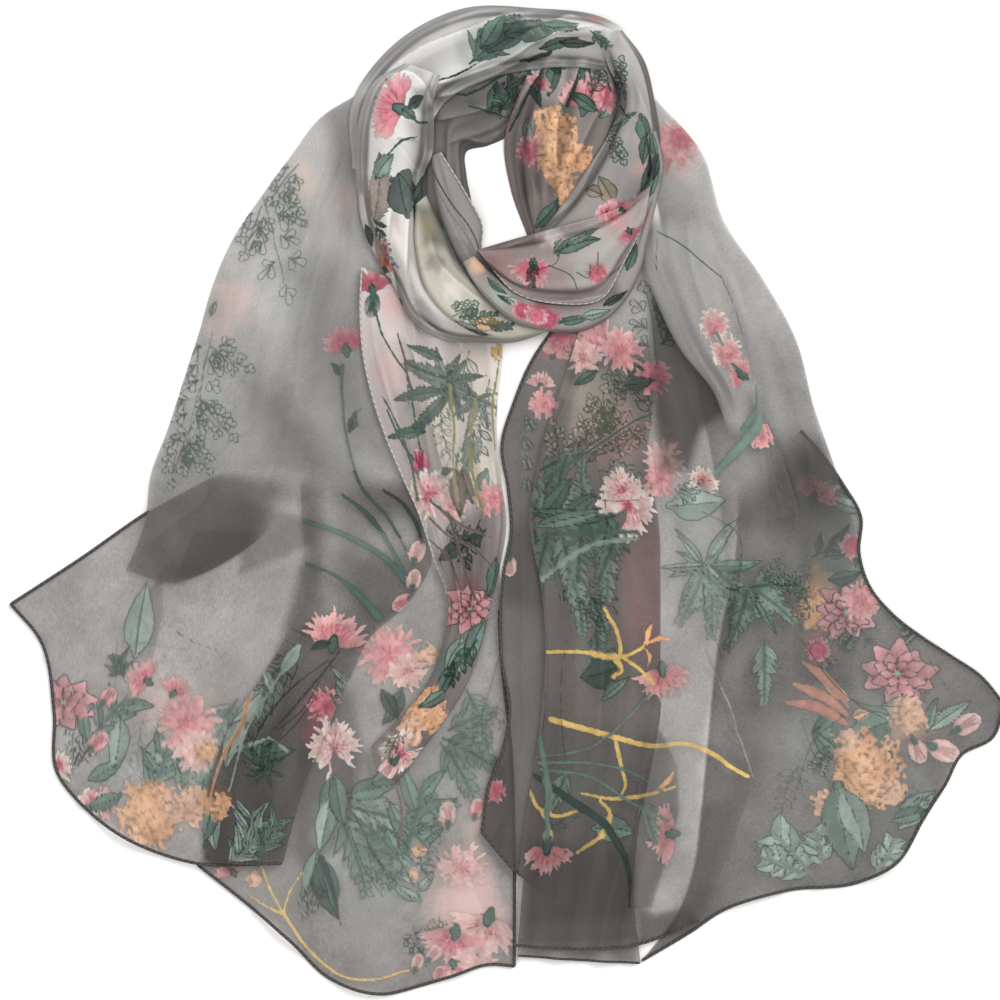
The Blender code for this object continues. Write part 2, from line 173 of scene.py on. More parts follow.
# %% [markdown]
# ## Folds, creases and pleats
# Three sizes of form make draped cloth. A fold is broad, and its place and half width are shares of
# the stretch's width. A crease is narrow, and its half width is in millimetres: a positive height
# stands up as a ridge, and a negative one sinks. Both run the whole length, or between two shares
# of it. A pleat follows a line in plan: the cloth rises slowly towards the line on its left side
# and drops sharply on its right side, as one layer does over the next. No two have the same length,
# depth or spacing.
# Each stretch also keeps a painted shade: a painted shadow below each pleat's lip, a painted highlight
# along its edge, and painted shade in the hollows of its relief, paler on its ridges.

# %% One stretch of cloth and its relief
Fold = namedtuple("Fold", "across_start across_end half_width height begins ends", defaults=(0, 1))
# A pleat's dark is the strength of the painted shadow below its lip and of the painted highlight along its
# edge.
Pleat = namedtuple("Pleat", "places width height dark")

WALL = 1.4
EDGE_STEPS = (0.07, 0.15)
STEP_SLOPE = 0.02
STEP_HEIGHT = 1.6
TUCKED_SHARE = 0.3
TUCK_LENGTH = 0.16
FADE_LENGTH = 0.15
EDGE_ROUND = 3.0
WANDER = 2.2
CREASE_EDGE = 0.62
HEM_SWELL, HEM_REACH = 0.7, 2.0
ONE_PASS = ((1, 1),)
LIP = 0.8
PLEAT_FALL = 1.4
# Reach of the painted shadow below a pleat's lip, and strength of the painted highlight on its edge.
PLEAT_SHADOW_REACH = 0.4
PLEAT_HIGHLIGHT = 0.45
PLEAT_TAPER = 0.12
HOLLOW_STRIDES = (9, 6, 3)
HOLLOW_DEPTH = 2.5
HOLLOW_RANGE = (-0.35, 1)
# How strongly the painted shade darkens the hollows, for each kind of stretch.
HOLLOW_SHADE = {"wall": 0.18, "bundle": 0.60, "roll": 0.50}
RIPPLES = ((46.0, 0.35, 0.4), (27.0, 0.18, 2.1), (63.0, 0.40, 4.0))


def along_line(x, y, points):
    """Distance to a broken line, how far along it the nearest place lies (0 to 1), and its side."""
    points = np.asarray(points, float)
    pieces = np.linalg.norm(np.diff(points, axis=0), axis=1)
    best, share, side, done = np.full(x.shape, 1e9), np.zeros(x.shape), np.ones(x.shape), 0.0
    for a, b, long in zip(points[:-1], points[1:], pieces):
        way = (b - a) / max(long, 1e-6)
        t = np.clip((x - a[0]) * way[0] + (y - a[1]) * way[1], 0, long)
        off = np.hypot(x - a[0] - t * way[0], y - a[1] - t * way[1])
        nearer = off < best
        share = np.where(nearer, (done + t) / pieces.sum(), share)
        side = np.where(nearer, np.where(way[0] * (y - a[1]) > way[1] * (x - a[0]), 1.0, -1.0), side)
        best = np.where(nearer, off, best)
        done += long
    return best, share, side


def fade(v, begins, ends):
    """How strongly a fold stands along its stretch."""
    grows = ease((v - begins) / FADE_LENGTH) if begins > 0 else 1.0
    dies = ease((ends - v) / FADE_LENGTH) if ends < 1 else 1.0
    return grows * dies


def crown_and_folds(u, v, crown, folds):
    """Height of the crown and the broad folds."""
    height = (crown[0] * (1 - v) + crown[1] * v) * np.sqrt(np.clip(1 - (2 * u - 1) ** 2, 0, 1))
    for fold in folds:
        centre = fold.across_start * (1 - v) + fold.across_end * v
        off = np.clip(np.abs(u - centre) / fold.half_width, 0, 1)
        height = height + fold.height * (0.5 + 0.5 * np.cos(np.pi * off)) * fade(v, fold.begins, fold.ends)
    return height


def fine_creases(u, v, width, length, creases):
    """Height of the narrow creases, which wander and swell along their length."""
    height = 0.0
    for k, crease in enumerate(creases):
        run = v * length
        wander = WANDER * np.sin(run / (19 + 5 * (k % 4)) + 1.9 * k)
        off = (u - crease.across_start * (1 - v) - crease.across_end * v) * width + wander
        swell = 0.78 + 0.22 * np.sin(run / (31 + 7 * (k % 3)) + 2.7 * k)
        profile = np.exp(-(off / (CREASE_EDGE * crease.half_width)) ** 2)
        height = height + crease.height * profile * swell * fade(v, crease.begins, crease.ends)
    return height


def pleat_relief(flat, pleats):
    """Height of the pleats' lips, and their painted shade: a painted shadow below a lip, a painted
    highlight along its edge.
    """
    height, shade = np.zeros(flat.shape[:2]), np.ones(flat.shape[:2])
    for pleat in pleats:
        places = np.array(pleat.places, float) - MIDDLE
        line = smooth_line(places, np.linspace(0, 1, 5 * len(places)))
        off, share, side = along_line(flat[..., 0], flat[..., 1], line)
        off = off * side
        strength = ease(share / PLEAT_TAPER) * ease((1 - share) / PLEAT_TAPER)
        slope = np.clip(1 - off / pleat.width, 0, 1) ** PLEAT_FALL
        height += pleat.height * strength * np.where(off > 0, slope, np.exp(-(off / LIP) ** 2))
        # Painted shadow in the angle below the lip, and a painted highlight along its edge.
        below = np.where(off < 0, np.exp(np.minimum(off, 0) / (PLEAT_SHADOW_REACH * pleat.width)), 0)
        edge = np.exp(-((off - 0.9) / 1.0) ** 2)
        shade *= 1 + pleat.dark * strength * (PLEAT_HIGHLIGHT * edge - below)
    return height, shade


class Cloth:
    """One stretch of cloth: its grid in plan, its height, its painted shade, and its places on the unrolled
    cloth.
    """

    def __init__(self, name, kind, sections, hem=(), crown=(0, 0), folds=(), creases=(), pitch=1.0,
                 hems=(), pleats=()):
        ends = np.array(sections, float)
        widths = np.linalg.norm(ends[:, 2:] - ends[:, :2], axis=1)
        sides = [np.linalg.norm(np.diff(ends[:, k:k + 2], axis=0), axis=1).sum() for k in (0, 2)]
        self.name = name
        self.length = sum(sides) / 2
        self.rows = round(max(sides) / pitch)
        self.columns = round((widths.max() + widths.mean()) / 2 / pitch)
        across, along = np.linspace(0, 1, self.columns + 1), np.linspace(0, 1, self.rows + 1)
        self.u, self.v = across[None, :], along[:, None]
        self.flat = plan_of(sections, hem, across, along)
        span = self.flat[:, -1] - self.flat[:, 0]
        self.width = np.linalg.norm(span, axis=1)[:, None]
        # The pleats give their lips' height, and a painted shadow and highlight beside them.
        lips, self.shade = pleat_relief(self.flat, [Pleat(*p) for p in pleats])
        folds, creases = [Fold(*f) for f in folds], [Fold(*c) for c in creases]
        self.z = self.laid(kind, crown, folds, creases, hems, lips)
        # Painted shade: the colour darkens in the hollows of the relief and pales a little on its ridges.
        mean = self.z
        for stride in HOLLOW_STRIDES:
            mean = spread(mean, stride)
        self.shade *= 1 - HOLLOW_SHADE[kind] * np.clip((mean - self.z) / HOLLOW_DEPTH, *HOLLOW_RANGE)
        heap.cover(self.flat, self.z)
        self.unrolled = self.unroll(span / self.width)

    def edge_distance(self, side):
        """Distance of every grid point from one side, in mm."""
        if side in ("left", "right"):
            share = self.u if side == "left" else 1 - self.u
            return share * self.width + 0 * self.v
        share = self.v if side == "start" else 1 - self.v
        return share * self.length + 0 * self.u

    def laid(self, kind, crown, folds, creases, hems, lips):
        """Height of the stretch once it is laid on the heap."""
        u, v = self.u, self.v
        lowest = heap.under(self.flat)
        base = settle(lowest)
        fine = fine_creases(u, v, self.width, self.length, creases) + lips
        if kind == "wall":
            fine = fine + self.ripples() + crown_and_folds(u, v, crown, folds)
            for side in hems:
                fine = fine + HEM_SWELL * np.exp(-(self.edge_distance(side) / HEM_REACH) ** 2)
            return settle(np.maximum(lowest, base + fine), ONE_PASS)
        tucked = TUCKED_SHARE + (1 - TUCKED_SHARE) * ease(np.minimum(v, 1 - v) / TUCK_LENGTH)
        inward = np.minimum(u, 1 - u)
        if kind == "bundle":
            steps = sum(ease((inward - edge) / STEP_SLOPE) for edge in EDGE_STEPS) * STEP_HEIGHT
            shoulder = EDGE_STEPS[-1] + STEP_SLOPE
            inner = np.clip((u - shoulder) / (1 - 2 * shoulder), 0.0, 1.0)
            body = steps + crown_and_folds(inner, v, crown, folds) * tucked
        else:
            body = crown_and_folds(u, v, crown, folds) * tucked
        near_edge = 1 - np.clip(inward * self.width / EDGE_ROUND, 0, 1)
        body = (body + WALL + fine * tucked) * np.sqrt(1 - near_edge ** 2)
        return settle(np.maximum(lowest, base + body), ONE_PASS)

    def ripples(self):
        """Broad, shallow waves that keep a laid sheet from being dead flat."""
        x, y = self.flat[..., 0], self.flat[..., 1]
        return sum(size * (1 + np.sin(x / length + turn + 1.3 * np.sin(y / (1.7 * length)))
                           * np.cos(y / length - turn)) for length, size, turn in RIPPLES)

    def unroll(self, along_section):
        """Places on the flat cloth: in plan, but with the length that lies in its slopes."""
        run = np.linalg.norm(np.diff(self.flat, axis=1), axis=2)
        rise = np.diff(self.z, axis=1)
        extra = np.cumsum(np.hypot(run, rise) - run, axis=1)
        extra = np.concatenate([np.zeros((len(extra), 1)), extra], axis=1)
        extra = extra - extra[:, self.columns // 2][:, None]
        return self.flat + along_section[:, None, :] * extra[..., None]


print("fold, crease and pleat shapes ready")

# %% [markdown]
# ## Dye on cloth
# A printed chiffon has three things at each place: the ground colour, the dye of a motif, and how
# sheer the cloth is. They are painted on the points of the fine grid and kept as attributes. A
# motif's edge is stored as a slope from 0 to 1 across 1.6 mm and made crisp later, in the shader,
# so that it stays sharp between the grid points. The drawn rim of a motif comes from that slope
# too, and other thin lines are stored as slopes of their own. The dye runs a little as it does on
# wet cloth: it pools along the rim of a motif and is uneven inside it.

# %% Dye colours
PINK = (0.56, 0.215, 0.225)
ROSE = (0.40, 0.085, 0.125)
MAGENTA = (0.34, 0.03, 0.09)
BLUSH = (0.60, 0.35, 0.32)
PETAL_WHITE = (0.74, 0.67, 0.62)
PEACH = (0.70, 0.42, 0.28)
ORANGE = (0.73, 0.37, 0.17)
YELLOW = (0.64, 0.44, 0.14)
OLIVE = (0.26, 0.25, 0.10)
GREEN = (0.060, 0.112, 0.090)
LEAF = (0.125, 0.19, 0.158)
PALE_LEAF = (0.25, 0.315, 0.275)
DARK_LEAF = (0.030, 0.052, 0.043)
BROWN = (0.12, 0.085, 0.07)
print("fourteen dyes")

# %% The painter
COVER_SLOPE = 1.6
CREEP = 0.8
DYE_BLEED = 0.6
BLEED_SLOPE = 0.8
POOLED = 0.18
DRY_TONE, WET_TONE = 0.78, 0.44
LINE_REACH = 1.35
WEAVE_GRAIN = 0.085
OUTLINE_TINT, OUTLINE_INK = 0.35, 0.85
OPEN = 0.52
Spot = namedtuple("Spot", "ids x y")


def cloud(x, y, size, seed):
    """Soft random patches from 0 to 1, of a given size in mm."""
    lattice = np.random.default_rng(seed).random((64, 64))
    gx, gy = x / size, y / size
    i, j = np.floor(gx).astype(int), np.floor(gy).astype(int)
    s, t = ease(gx - i), ease(gy - j)
    corner = [lattice[(i + a) % 64, (j + b) % 64] for a in (0, 1) for b in (0, 1)]
    return (corner[0] * (1 - s) * (1 - t) + corner[1] * (1 - s) * t
            + corner[2] * s * (1 - t) + corner[3] * s * t)


class Print:
    """The ground, the dye and the sheerness of one stretch, at the points of its grid."""

    def __init__(self, cloth, ground, sheer):
        v = (cloth.v + 0 * cloth.u).ravel()
        self.cloth = cloth
        self.plan = cloth.flat.reshape(-1, 2)
        self.at = cloth.unrolled.reshape(-1, 2)
        x, y = self.at.T
        tone = 0.90 + 0.14 * cloud(x, y, 34.0, 5) + 0.06 * cloud(x, y, 7.0, 6)
        self.ground = np.outer((1 - v) * tone, ground[0]) + np.outer(v * tone, ground[1])
        self.dye = self.ground.copy()
        self.wet = 0.6 * cloud(x, y, 3.6, 8) + 0.4 * cloud(x, y, 1.6, 9)
        self.creep = cloud(x, y, 1.4, 10) - 0.5
        self.ink = np.zeros(len(v))
        self.line = np.zeros(len(v))
        self.rim = np.zeros(len(v))
        grain = WEAVE_GRAIN * np.random.default_rng(len(v)).standard_normal(len(v))
        patches = 0.24 * (cloud(x, y, 26.0, 12) - 0.5) + 0.12 * (cloud(x, y, 8.0, 13) - 0.5)
        through = (1 - sheer[0] * (1 - v) - sheer[1] * v) * (1 + grain + patches)
        self.sheer = 1 - np.clip(through, 0, 1)

    def around(self, x, y, reach, turn=0.0):
        """The grid points round a place, measured from it, with +y turned clockwise by turn."""
        place = np.array([x, y]) - MIDDLE
        nearest = np.argmin(((self.plan - place) ** 2).sum(axis=1))
        off = self.at - self.at[nearest] - (place - self.plan[nearest])
        ids = np.flatnonzero(np.hypot(off[:, 0], off[:, 1]) < reach)
        up = math.radians(turn)
        sx, sy = off[ids].T
        return Spot(ids, sx * math.cos(up) - sy * math.sin(up), sx * math.sin(up) + sy * math.cos(up))

    def over(self, spot, dye, share):
        """A thin dye through which the ground still shows."""
        return share * np.asarray(dye) + (1 - share) * self.ground[spot.ids]

    def fill(self, spot, inside, dye, edge=0.0, bleed=DYE_BLEED):
        """Dye the places where a signed distance is below 0, with a drawn line on the edge."""
        ids = spot.ids
        inside = inside + CREEP * self.creep[ids]
        cover = np.clip(0.5 - inside / COVER_SLOPE, 0, 1)
        bleed = np.clip(0.5 - (inside - bleed) / BLEED_SLOPE, 0, 1)[:, None]
        pooled = POOLED * np.exp(-((inside + 0.7) / 0.9) ** 2)
        wet = (DRY_TONE + WET_TONE * self.wet[ids] - pooled)[:, None]
        self.dye[ids] += (np.asarray(dye) * wet - self.dye[ids]) * bleed
        drawn = edge * self.ink[ids] * np.clip(1 - np.abs(inside) / LINE_REACH, 0, 1)
        self.line[ids] = np.maximum(self.line[ids] * (1 - cover), drawn)
        self.rim[ids] += (edge - self.rim[ids]) * np.clip(2 - inside, 0, 1)
        self.ink[ids] = np.maximum(self.ink[ids], cover)

    def outline(self, spot, inside, dye):
        """Draw round a shape and tint it thinly, so that the ground still shows."""
        ids = spot.ids
        cover = OUTLINE_TINT * np.clip(0.5 - inside / COVER_SLOPE, 0, 1)[:, None]
        self.ground[ids] += (np.asarray(dye) - self.ground[ids]) * cover
        drawn = OUTLINE_INK * np.clip(1 - np.abs(inside) / LINE_REACH, 0, 1)
        self.line[ids] = np.maximum(self.line[ids], drawn)

    def stroke(self, spot, points, widths, dye, edge=0.0, tip=None, bleed=DYE_BLEED):
        """One stroke of the brush along a line, as wide at each share of it as widths say."""
        off, share, _ = along_line(spot.x, spot.y, points)
        half = np.interp(share, np.linspace(0, 1, len(widths)), widths)
        if tip is not None:
            dye = np.outer(1 - share, dye) + np.outer(share, tip)
        self.fill(spot, off - half, dye, edge, bleed)

    def draw(self, spot, points, strength=1.0):
        """A thin drawn line."""
        drawn = strength * np.clip(1 - along_line(spot.x, spot.y, points)[0] / LINE_REACH, 0, 1)
        self.line[spot.ids] = np.maximum(self.line[spot.ids], drawn)

    def curve(self, places):
        """A smooth line through places in plan, and the grid points round it."""
        middle = np.mean(places, axis=0)
        reach = max(np.linalg.norm(np.array(places) - middle, axis=1)) + 12
        smooth = smooth_line(np.array(places) - middle, np.linspace(0, 1, 6 * len(places)))
        return self.around(*middle, reach), smooth

    def trail(self, places, widths, dye, edge=0.0):
        """A long stem, given by places in plan."""
        spot, smooth = self.curve(places)
        self.stroke(spot, smooth, widths, dye, edge)

    def pencil(self, places, strength=0.8):
        """A long thin drawn line, given by places in plan."""
        spot, smooth = self.curve(places)
        self.draw(spot, smooth, strength)

    def wash(self, x, y, size, dye, strength=0.6, squeeze=1.0, turn=0.0):
        """A soft, wet patch of dye with no edge."""
        spot = self.around(x, y, 1.6 * size * max(1, squeeze), turn)
        ragged = 0.7 + 0.6 * cloud(spot.x + x, spot.y + y, size / 2.5, 11)
        soft = strength * ease(1.25 - np.hypot(spot.x, spot.y / squeeze) / size / ragged)[:, None]
        self.ground[spot.ids] += (np.asarray(dye) - self.ground[spot.ids]) * soft

    def veil_and_shade(self, corners, tone, sheer, soft=0.8):
        """Another tone and sheerness inside an outline in plan, for doubled and thinned cloth and for
        painted shade.
        """
        corners = np.array(corners, float) - MIDDLE
        x, y = self.plan.T
        inside, nearest = np.zeros(len(x), bool), np.full(len(x), 1e9)
        for a, b in zip(corners, np.roll(corners, -1, axis=0)):
            crosses = (a[1] > y) != (b[1] > y)
            at = a[0] + (y - a[1]) / (b[1] - a[1] + 1e-9) * (b[0] - a[0])
            inside ^= crosses & (x < at)
            nearest = np.minimum(nearest, along_line(x, y, [a, b])[0])
        share = ease(0.5 + np.where(inside, nearest, -nearest) / (2 * soft))
        self.ground *= (1 - share * (1 - tone))[:, None]
        self.dye *= (1 - share * (1 - tone))[:, None]
        self.sheer = 1 - (1 - self.sheer) * (1 - share * (1 - (1 - sheer) / (1 - OPEN)))


print("the painter fills, strokes, draws, washes and veils")

# %% [markdown]
# ## Motifs
# The print is loose watercolour with pen lines: cornflowers, daisies, fluffy pompon flowers,
# many-petalled heads, buds, ferns and drawn lobed leaves. Each is a small function that paints
# petals and leaves with the same few strokes, varied by a seed from its own place, so that no two
# heads are alike.

# %% Flowers
def shades(x, y):
    """Random shades for a motif, the same each time for the same place."""
    return np.random.default_rng(int(abs(x) * 13 + abs(y) * 101))


def lighter(dye, share):
    """A dye mixed with white petals' own colour."""
    return np.asarray(dye) * (1 - share) + np.asarray(PETAL_WHITE) * share


def petals(paint, spot, rng, count, reach, spread_by, thick, base, tip, edge=0.3, bleed=DYE_BLEED):
    """A row of petals between two radii, over an angle in degrees, from a base dye to a tip dye."""
    for k in rng.permutation(count):
        angle = math.radians(spread_by * ((k + 0.5) / count - 0.5) + rng.uniform(-5, 5))
        long = reach[1] * rng.uniform(0.80, 1.08)
        out = np.array([math.sin(angle), math.cos(angle)])
        bend = np.array([out[1], -out[0]]) * long * rng.uniform(-0.10, 0.10)
        line = [out * reach[0], out * (reach[0] + long) / 2 + bend, out * long]
        shade = rng.uniform(0.82, 1.12)
        paint.stroke(spot, line, (0.3 * thick, 0.8 * thick, thick, 0.45 * thick),
                     shade * np.asarray(base), edge, shade * np.asarray(tip), bleed)


def cornflower(paint, x, y, size, turn=0.0, dye=PINK):
    """A head seen from the side: a fan of ragged florets on a scaly green cup."""
    rng, spot = shades(x, y), paint.around(x, y, 1.35 * size, turn)
    deep = 0.75 * np.asarray(dye)
    petals(paint, spot, rng, 9, (0.1 * size, 0.80 * size), 150, 0.15 * size, deep, lighter(dye, 0.25), 0.15)
    petals(paint, spot, rng, 24, (0.45 * size, 1.02 * size), 158, 0.045 * size + 0.3, dye,
           lighter(dye, 0.35), 0.25)
    petals(paint, spot, rng, 9, (0.3 * size, 0.72 * size), 110, 0.3, MAGENTA, ROSE, 0.0, 0.0)
    paint.stroke(spot, [(0, -0.14 * size), (0, 0.20 * size)],
                 (0.07 * size, 0.16 * size, 0.09 * size), GREEN, 0.9)


def frill(paint, x, y, size, turn=0.0, dye=PINK):
    """A wide open cornflower: pale ragged florets round a deep middle, fuller on one side."""
    rng, spot = shades(x, y), paint.around(x, y, 1.35 * size, turn)
    petals(paint, spot, rng, 8, (0.1 * size, 0.78 * size), 300, 0.20 * size, dye, PETAL_WHITE, 0.15)
    petals(paint, spot, rng, 26, (0.5 * size, 1.0 * size), 310, 0.05 * size + 0.3, BLUSH, PETAL_WHITE, 0.3)
    petals(paint, spot, rng, 12, (0.1 * size, 0.55 * size), 300, 0.3, MAGENTA, ROSE, 0.0, 0.0)
    petals(paint, spot, rng, 7, (0.02 * size, 0.20 * size), 360, 0.4, MAGENTA, MAGENTA, 0.0, 0.1)


def daisy(paint, x, y, size, turn=0.0, dye=PETAL_WHITE):
    """A flat head with pale petals all round and a dark, streaked middle."""
    rng, spot = shades(x, y), paint.around(x, y, 1.3 * size, turn)
    petals(paint, spot, rng, 15, (0.15 * size, size), 360, 0.12 * size, BLUSH, dye, 0.5)
    petals(paint, spot, rng, 12, (0.1 * size, 0.55 * size), 360, 0.4, ROSE, PINK, 0.0, 0.1)
    petals(paint, spot, rng, 10, (0.05 * size, 0.32 * size), 360, 0.5, MAGENTA, MAGENTA, 0.0, 0.1)


def dahlia(paint, x, y, size, turn=0.0, dye=ROSE):
    """A full head with three rows of broad, outlined petals, seen a little from the side."""
    rng, spot = shades(x, y), paint.around(x, y, 1.3 * size, turn)
    spot = Spot(spot.ids, spot.x, spot.y / 0.80)
    for count, reach, width in ((9, 1.0, 0.27), (8, 0.72, 0.21), (6, 0.44, 0.15)):
        petals(paint, spot, rng, count, (0.3 * reach * size, reach * size), 360, width * size,
               0.75 * np.asarray(dye), lighter(dye, 0.34), 0.95)
    paint.fill(spot, np.hypot(spot.x, spot.y) - 0.10 * size, PALE_LEAF, 0.8)


def blossom(paint, x, y, size, turn=0.0, dye=PINK):
    """A soft open flower: broad ragged petals with a streaked middle."""
    rng, spot = shades(x, y), paint.around(x, y, 1.35 * size, turn)
    petals(paint, spot, rng, 6, (0.05 * size, 0.86 * size), 360, 0.27 * size, dye, lighter(dye, 0.30), 0.1)
    petals(paint, spot, rng, 17, (0.55 * size, 1.05 * size), 360, 0.06 * size + 0.3, dye,
           lighter(dye, 0.40), 0.15)
    petals(paint, spot, rng, 9, (0.05 * size, 0.36 * size), 360, 0.25, ROSE, ROSE, 0.0, 0.0)


def pompon(paint, x, y, size, turn=0.0, dye=ORANGE):
    """A fluffy head: tufts that thin out to the edge, in several shades, with dark gaps."""
    rng, spot = shades(x, y), paint.around(x, y, 1.45 * size, turn)
    px, py = spot.x + x, spot.y + y
    off = np.hypot(spot.x, spot.y)
    ragged = size * (0.62 + 0.62 * cloud(px, py, 0.30 * size, 3)) + 3.2 * (cloud(px, py, 2.4, 4) - 0.5)
    gaps = 5.0 * (0.52 * (off / size) ** 2.5 - cloud(px, py, 2.0, 14))
    pale = (0.60 * cloud(px, py, 0.28 * size + 1, 7) + 0.40 * cloud(px, py, 1.7, 16))[:, None]
    hollow = np.clip(1.5 - 3.4 * cloud(px, py, 2.0, 17), 0, 1)[:, None]
    tone = np.asarray(dye) * (0.70 + 0.30 * pale) + 0.62 * pale * (lighter(PEACH, 0.25) - dye)
    paint.fill(spot, np.maximum(off - ragged, gaps), tone * (1 - 0.52 * hollow), 0.15)
    for _ in range(int(1.6 * size)):
        bearing, out = rng.uniform(0, 2 * math.pi), size * rng.uniform(0.1, 0.9)
        base = np.array([math.cos(bearing), math.sin(bearing)]) * out
        paint.draw(spot, [base, base * (1 + 1.8 / out) + rng.uniform(-1, 1, 2)], 0.45)


def bud(paint, x, y, size, turn=0.0, dye=PINK):
    """A closed bud in its green cup."""
    spot = paint.around(x, y, 1.8 * size, turn)
    body = (np.hypot(spot.x / 0.66, spot.y) - size) * 0.75
    shade = ease(0.5 + 0.5 * spot.y / size)[:, None]
    paint.fill(spot, body, np.asarray(dye) * (1 - shade) + lighter(dye, 0.45) * shade, 0.35)
    for lean in (-0.28, 0.0, 0.28):
        paint.stroke(spot, [(0.3 * lean * size, -0.5 * size), (lean * size, 0.7 * size)], (0.3, 0.5, 0.2),
                     0.7 * np.asarray(dye))
    paint.stroke(spot, [(0, -1.20 * size), (0, -0.72 * size)], (0.06 * size, 0.26 * size), GREEN, 0.5)


print("seven kinds of flower")


# %% Leaves
LEAFLET_THICK = 0.036
FINGERS, FINGER_FAN = 7, 250
LOBE_PAIRS = 3
SKETCHED_LEAVES = 9


def leaf(paint, x, y, size, turn=0.0, dye=LEAF, share=0.20, veins=6, teeth=0.0):
    """A pointed leaf in two tones with a midrib and side veins; x, y is its foot."""
    rng, spot = shades(x, y), paint.around(x, y, 1.15 * size, turn)
    bend = rng.uniform(-0.10, 0.10) * size
    curve = [(0, 0), (0.6 * bend, 0.33 * size), (0.7 * bend, 0.66 * size), (0, size)]
    wide = share * size
    off, at, side = along_line(spot.x, spot.y, curve)
    half = wide * np.sin(np.pi * np.clip(at, 0.03, 1) ** 0.75) * (1 + teeth * (np.mod(at * 12, 1) - 0.5))
    tone = paint.over(spot, np.outer(1 + 0.18 * side * np.sign(bend), dye), 0.90)
    paint.fill(spot, off - half, tone, 0.85)
    paint.draw(spot, curve, 0.8)
    for k in range(veins):
        t = 0.12 + 0.74 * k / veins
        foot = smooth_line(curve, np.array([t]))[0]
        for way in (-1, 1):
            paint.draw(spot, [foot, foot + (way * 0.62 * wide, 0.5 * wide)], 0.55)


def fern(paint, x, y, size, turn=0.0, dye=GREEN, pairs=10, bend=0.15):
    """A frond: a rib with pairs of slim, pointed leaflets; x, y is its foot."""
    rng, spot = shades(x, y), paint.around(x, y, 1.25 * size, turn)
    for k in range(pairs):
        t = (k + 0.8) / (pairs + 0.4)
        foot = np.array([bend * size * t * t, size * t])
        long = 0.36 * size * (1 - 0.72 * t) * rng.uniform(0.8, 1.2)
        for side in (-1, 1):
            lean = math.radians(side * rng.uniform(34, 52)) + 2 * bend * t
            out = np.array([math.sin(lean), math.cos(lean)])
            tone = paint.over(spot, lighter(dye, rng.uniform(0, 0.12)), 0.82)
            paint.stroke(spot, [foot, foot + 0.5 * long * out, foot + long * out],
                         (0.3, LEAFLET_THICK * size + 0.2, 0.8 * LEAFLET_THICK * size, 0.1), tone, 0.7)
    rib = [(bend * size * t * t, size * t) for t in (0, 0.25, 0.5, 0.75, 1)]
    paint.stroke(spot, rib, (0.8, 0.5, 0.25), 0.6 * np.asarray(dye), 0.3)


def twig(paint, x, y, size, turn=0.0, dye=LEAF, count=6, share=0.17):
    """A stem with slim pointed leaves on both sides."""
    rng = shades(x, y)
    up = math.radians(turn)
    way, side = np.array([math.sin(up), math.cos(up)]), np.array([math.cos(up), -math.sin(up)])
    for k in range(count):
        foot = np.array([x, y]) + way * size * (0.1 + 0.8 * k / count)
        lean = (1 if k % 2 else -1) * rng.uniform(28, 55)
        leaf(paint, *foot, 0.50 * size * rng.uniform(0.75, 1.1), turn + lean, dye, share, 3)
    foot = np.array([x, y])
    paint.trail([foot, foot + way * size * 0.5 + side * 1.2, foot + way * size], (0.7, 0.35),
                0.6 * np.asarray(dye))


def palmate(paint, x, y, size, turn=0.0, dye=LEAF):
    """Slim toothed leaflets that spread from one point like fingers."""
    rng = shades(x, y)
    for k in rng.permutation(FINGERS):
        aside = k / (FINGERS - 1) - 0.5
        lean = FINGER_FAN * aside
        long = size * (1 - 0.45 * abs(aside) * 2) * rng.uniform(0.9, 1.08)
        leaf(paint, x, y, long, turn + lean, lighter(dye, rng.uniform(0, 0.1)), 0.105, 7, 0.5)


def lobed(paint, x, y, size, turn=0.0, dye=PALE_LEAF):
    """A parsley-like leaf, in outline over a thin tint; x, y is its foot."""
    rng, spot = shades(x, y), paint.around(x, y, 1.3 * size, turn)
    away, ribs = np.full(spot.x.shape, 1e9), []
    for k in range(LOBE_PAIRS + 1):
        t = (k + 0.5) / (LOBE_PAIRS + 0.6)
        for side in ((-1, 1) if k < LOBE_PAIRS else (0,)):
            foot = np.array([0.03 * size * math.sin(5 * t), 0.92 * size * t])
            lean = math.radians(side * rng.uniform(40, 62))
            long = size * (0.44 - 0.22 * t) * rng.uniform(0.85, 1.12)
            ribs.append([foot, foot + long * np.array([math.sin(lean), math.cos(lean)])])
            for start, turn_by, part in ((0.34, 0.8, 0.34), (0.46, -0.8, 0.34), (0.50, 0.0, 0.50)):
                out = np.array([math.sin(lean + turn_by), math.cos(lean + turn_by)])
                knee = ribs[-1][0] + start * (ribs[-1][1] - ribs[-1][0])
                off, along, _ = along_line(spot.x, spot.y, [knee, knee + out * part * long])
                round_end = 0.4 + (0.026 * size + 0.40) * along * rng.uniform(0.8, 1.2)
                away = np.minimum(away, off - round_end)
    paint.outline(spot, away, dye)
    paint.draw(spot, [(0, 0), (0.03 * size, 0.5 * size), (0, 0.95 * size)], 0.8)
    for rib in ribs:
        paint.draw(spot, rib, 0.5)


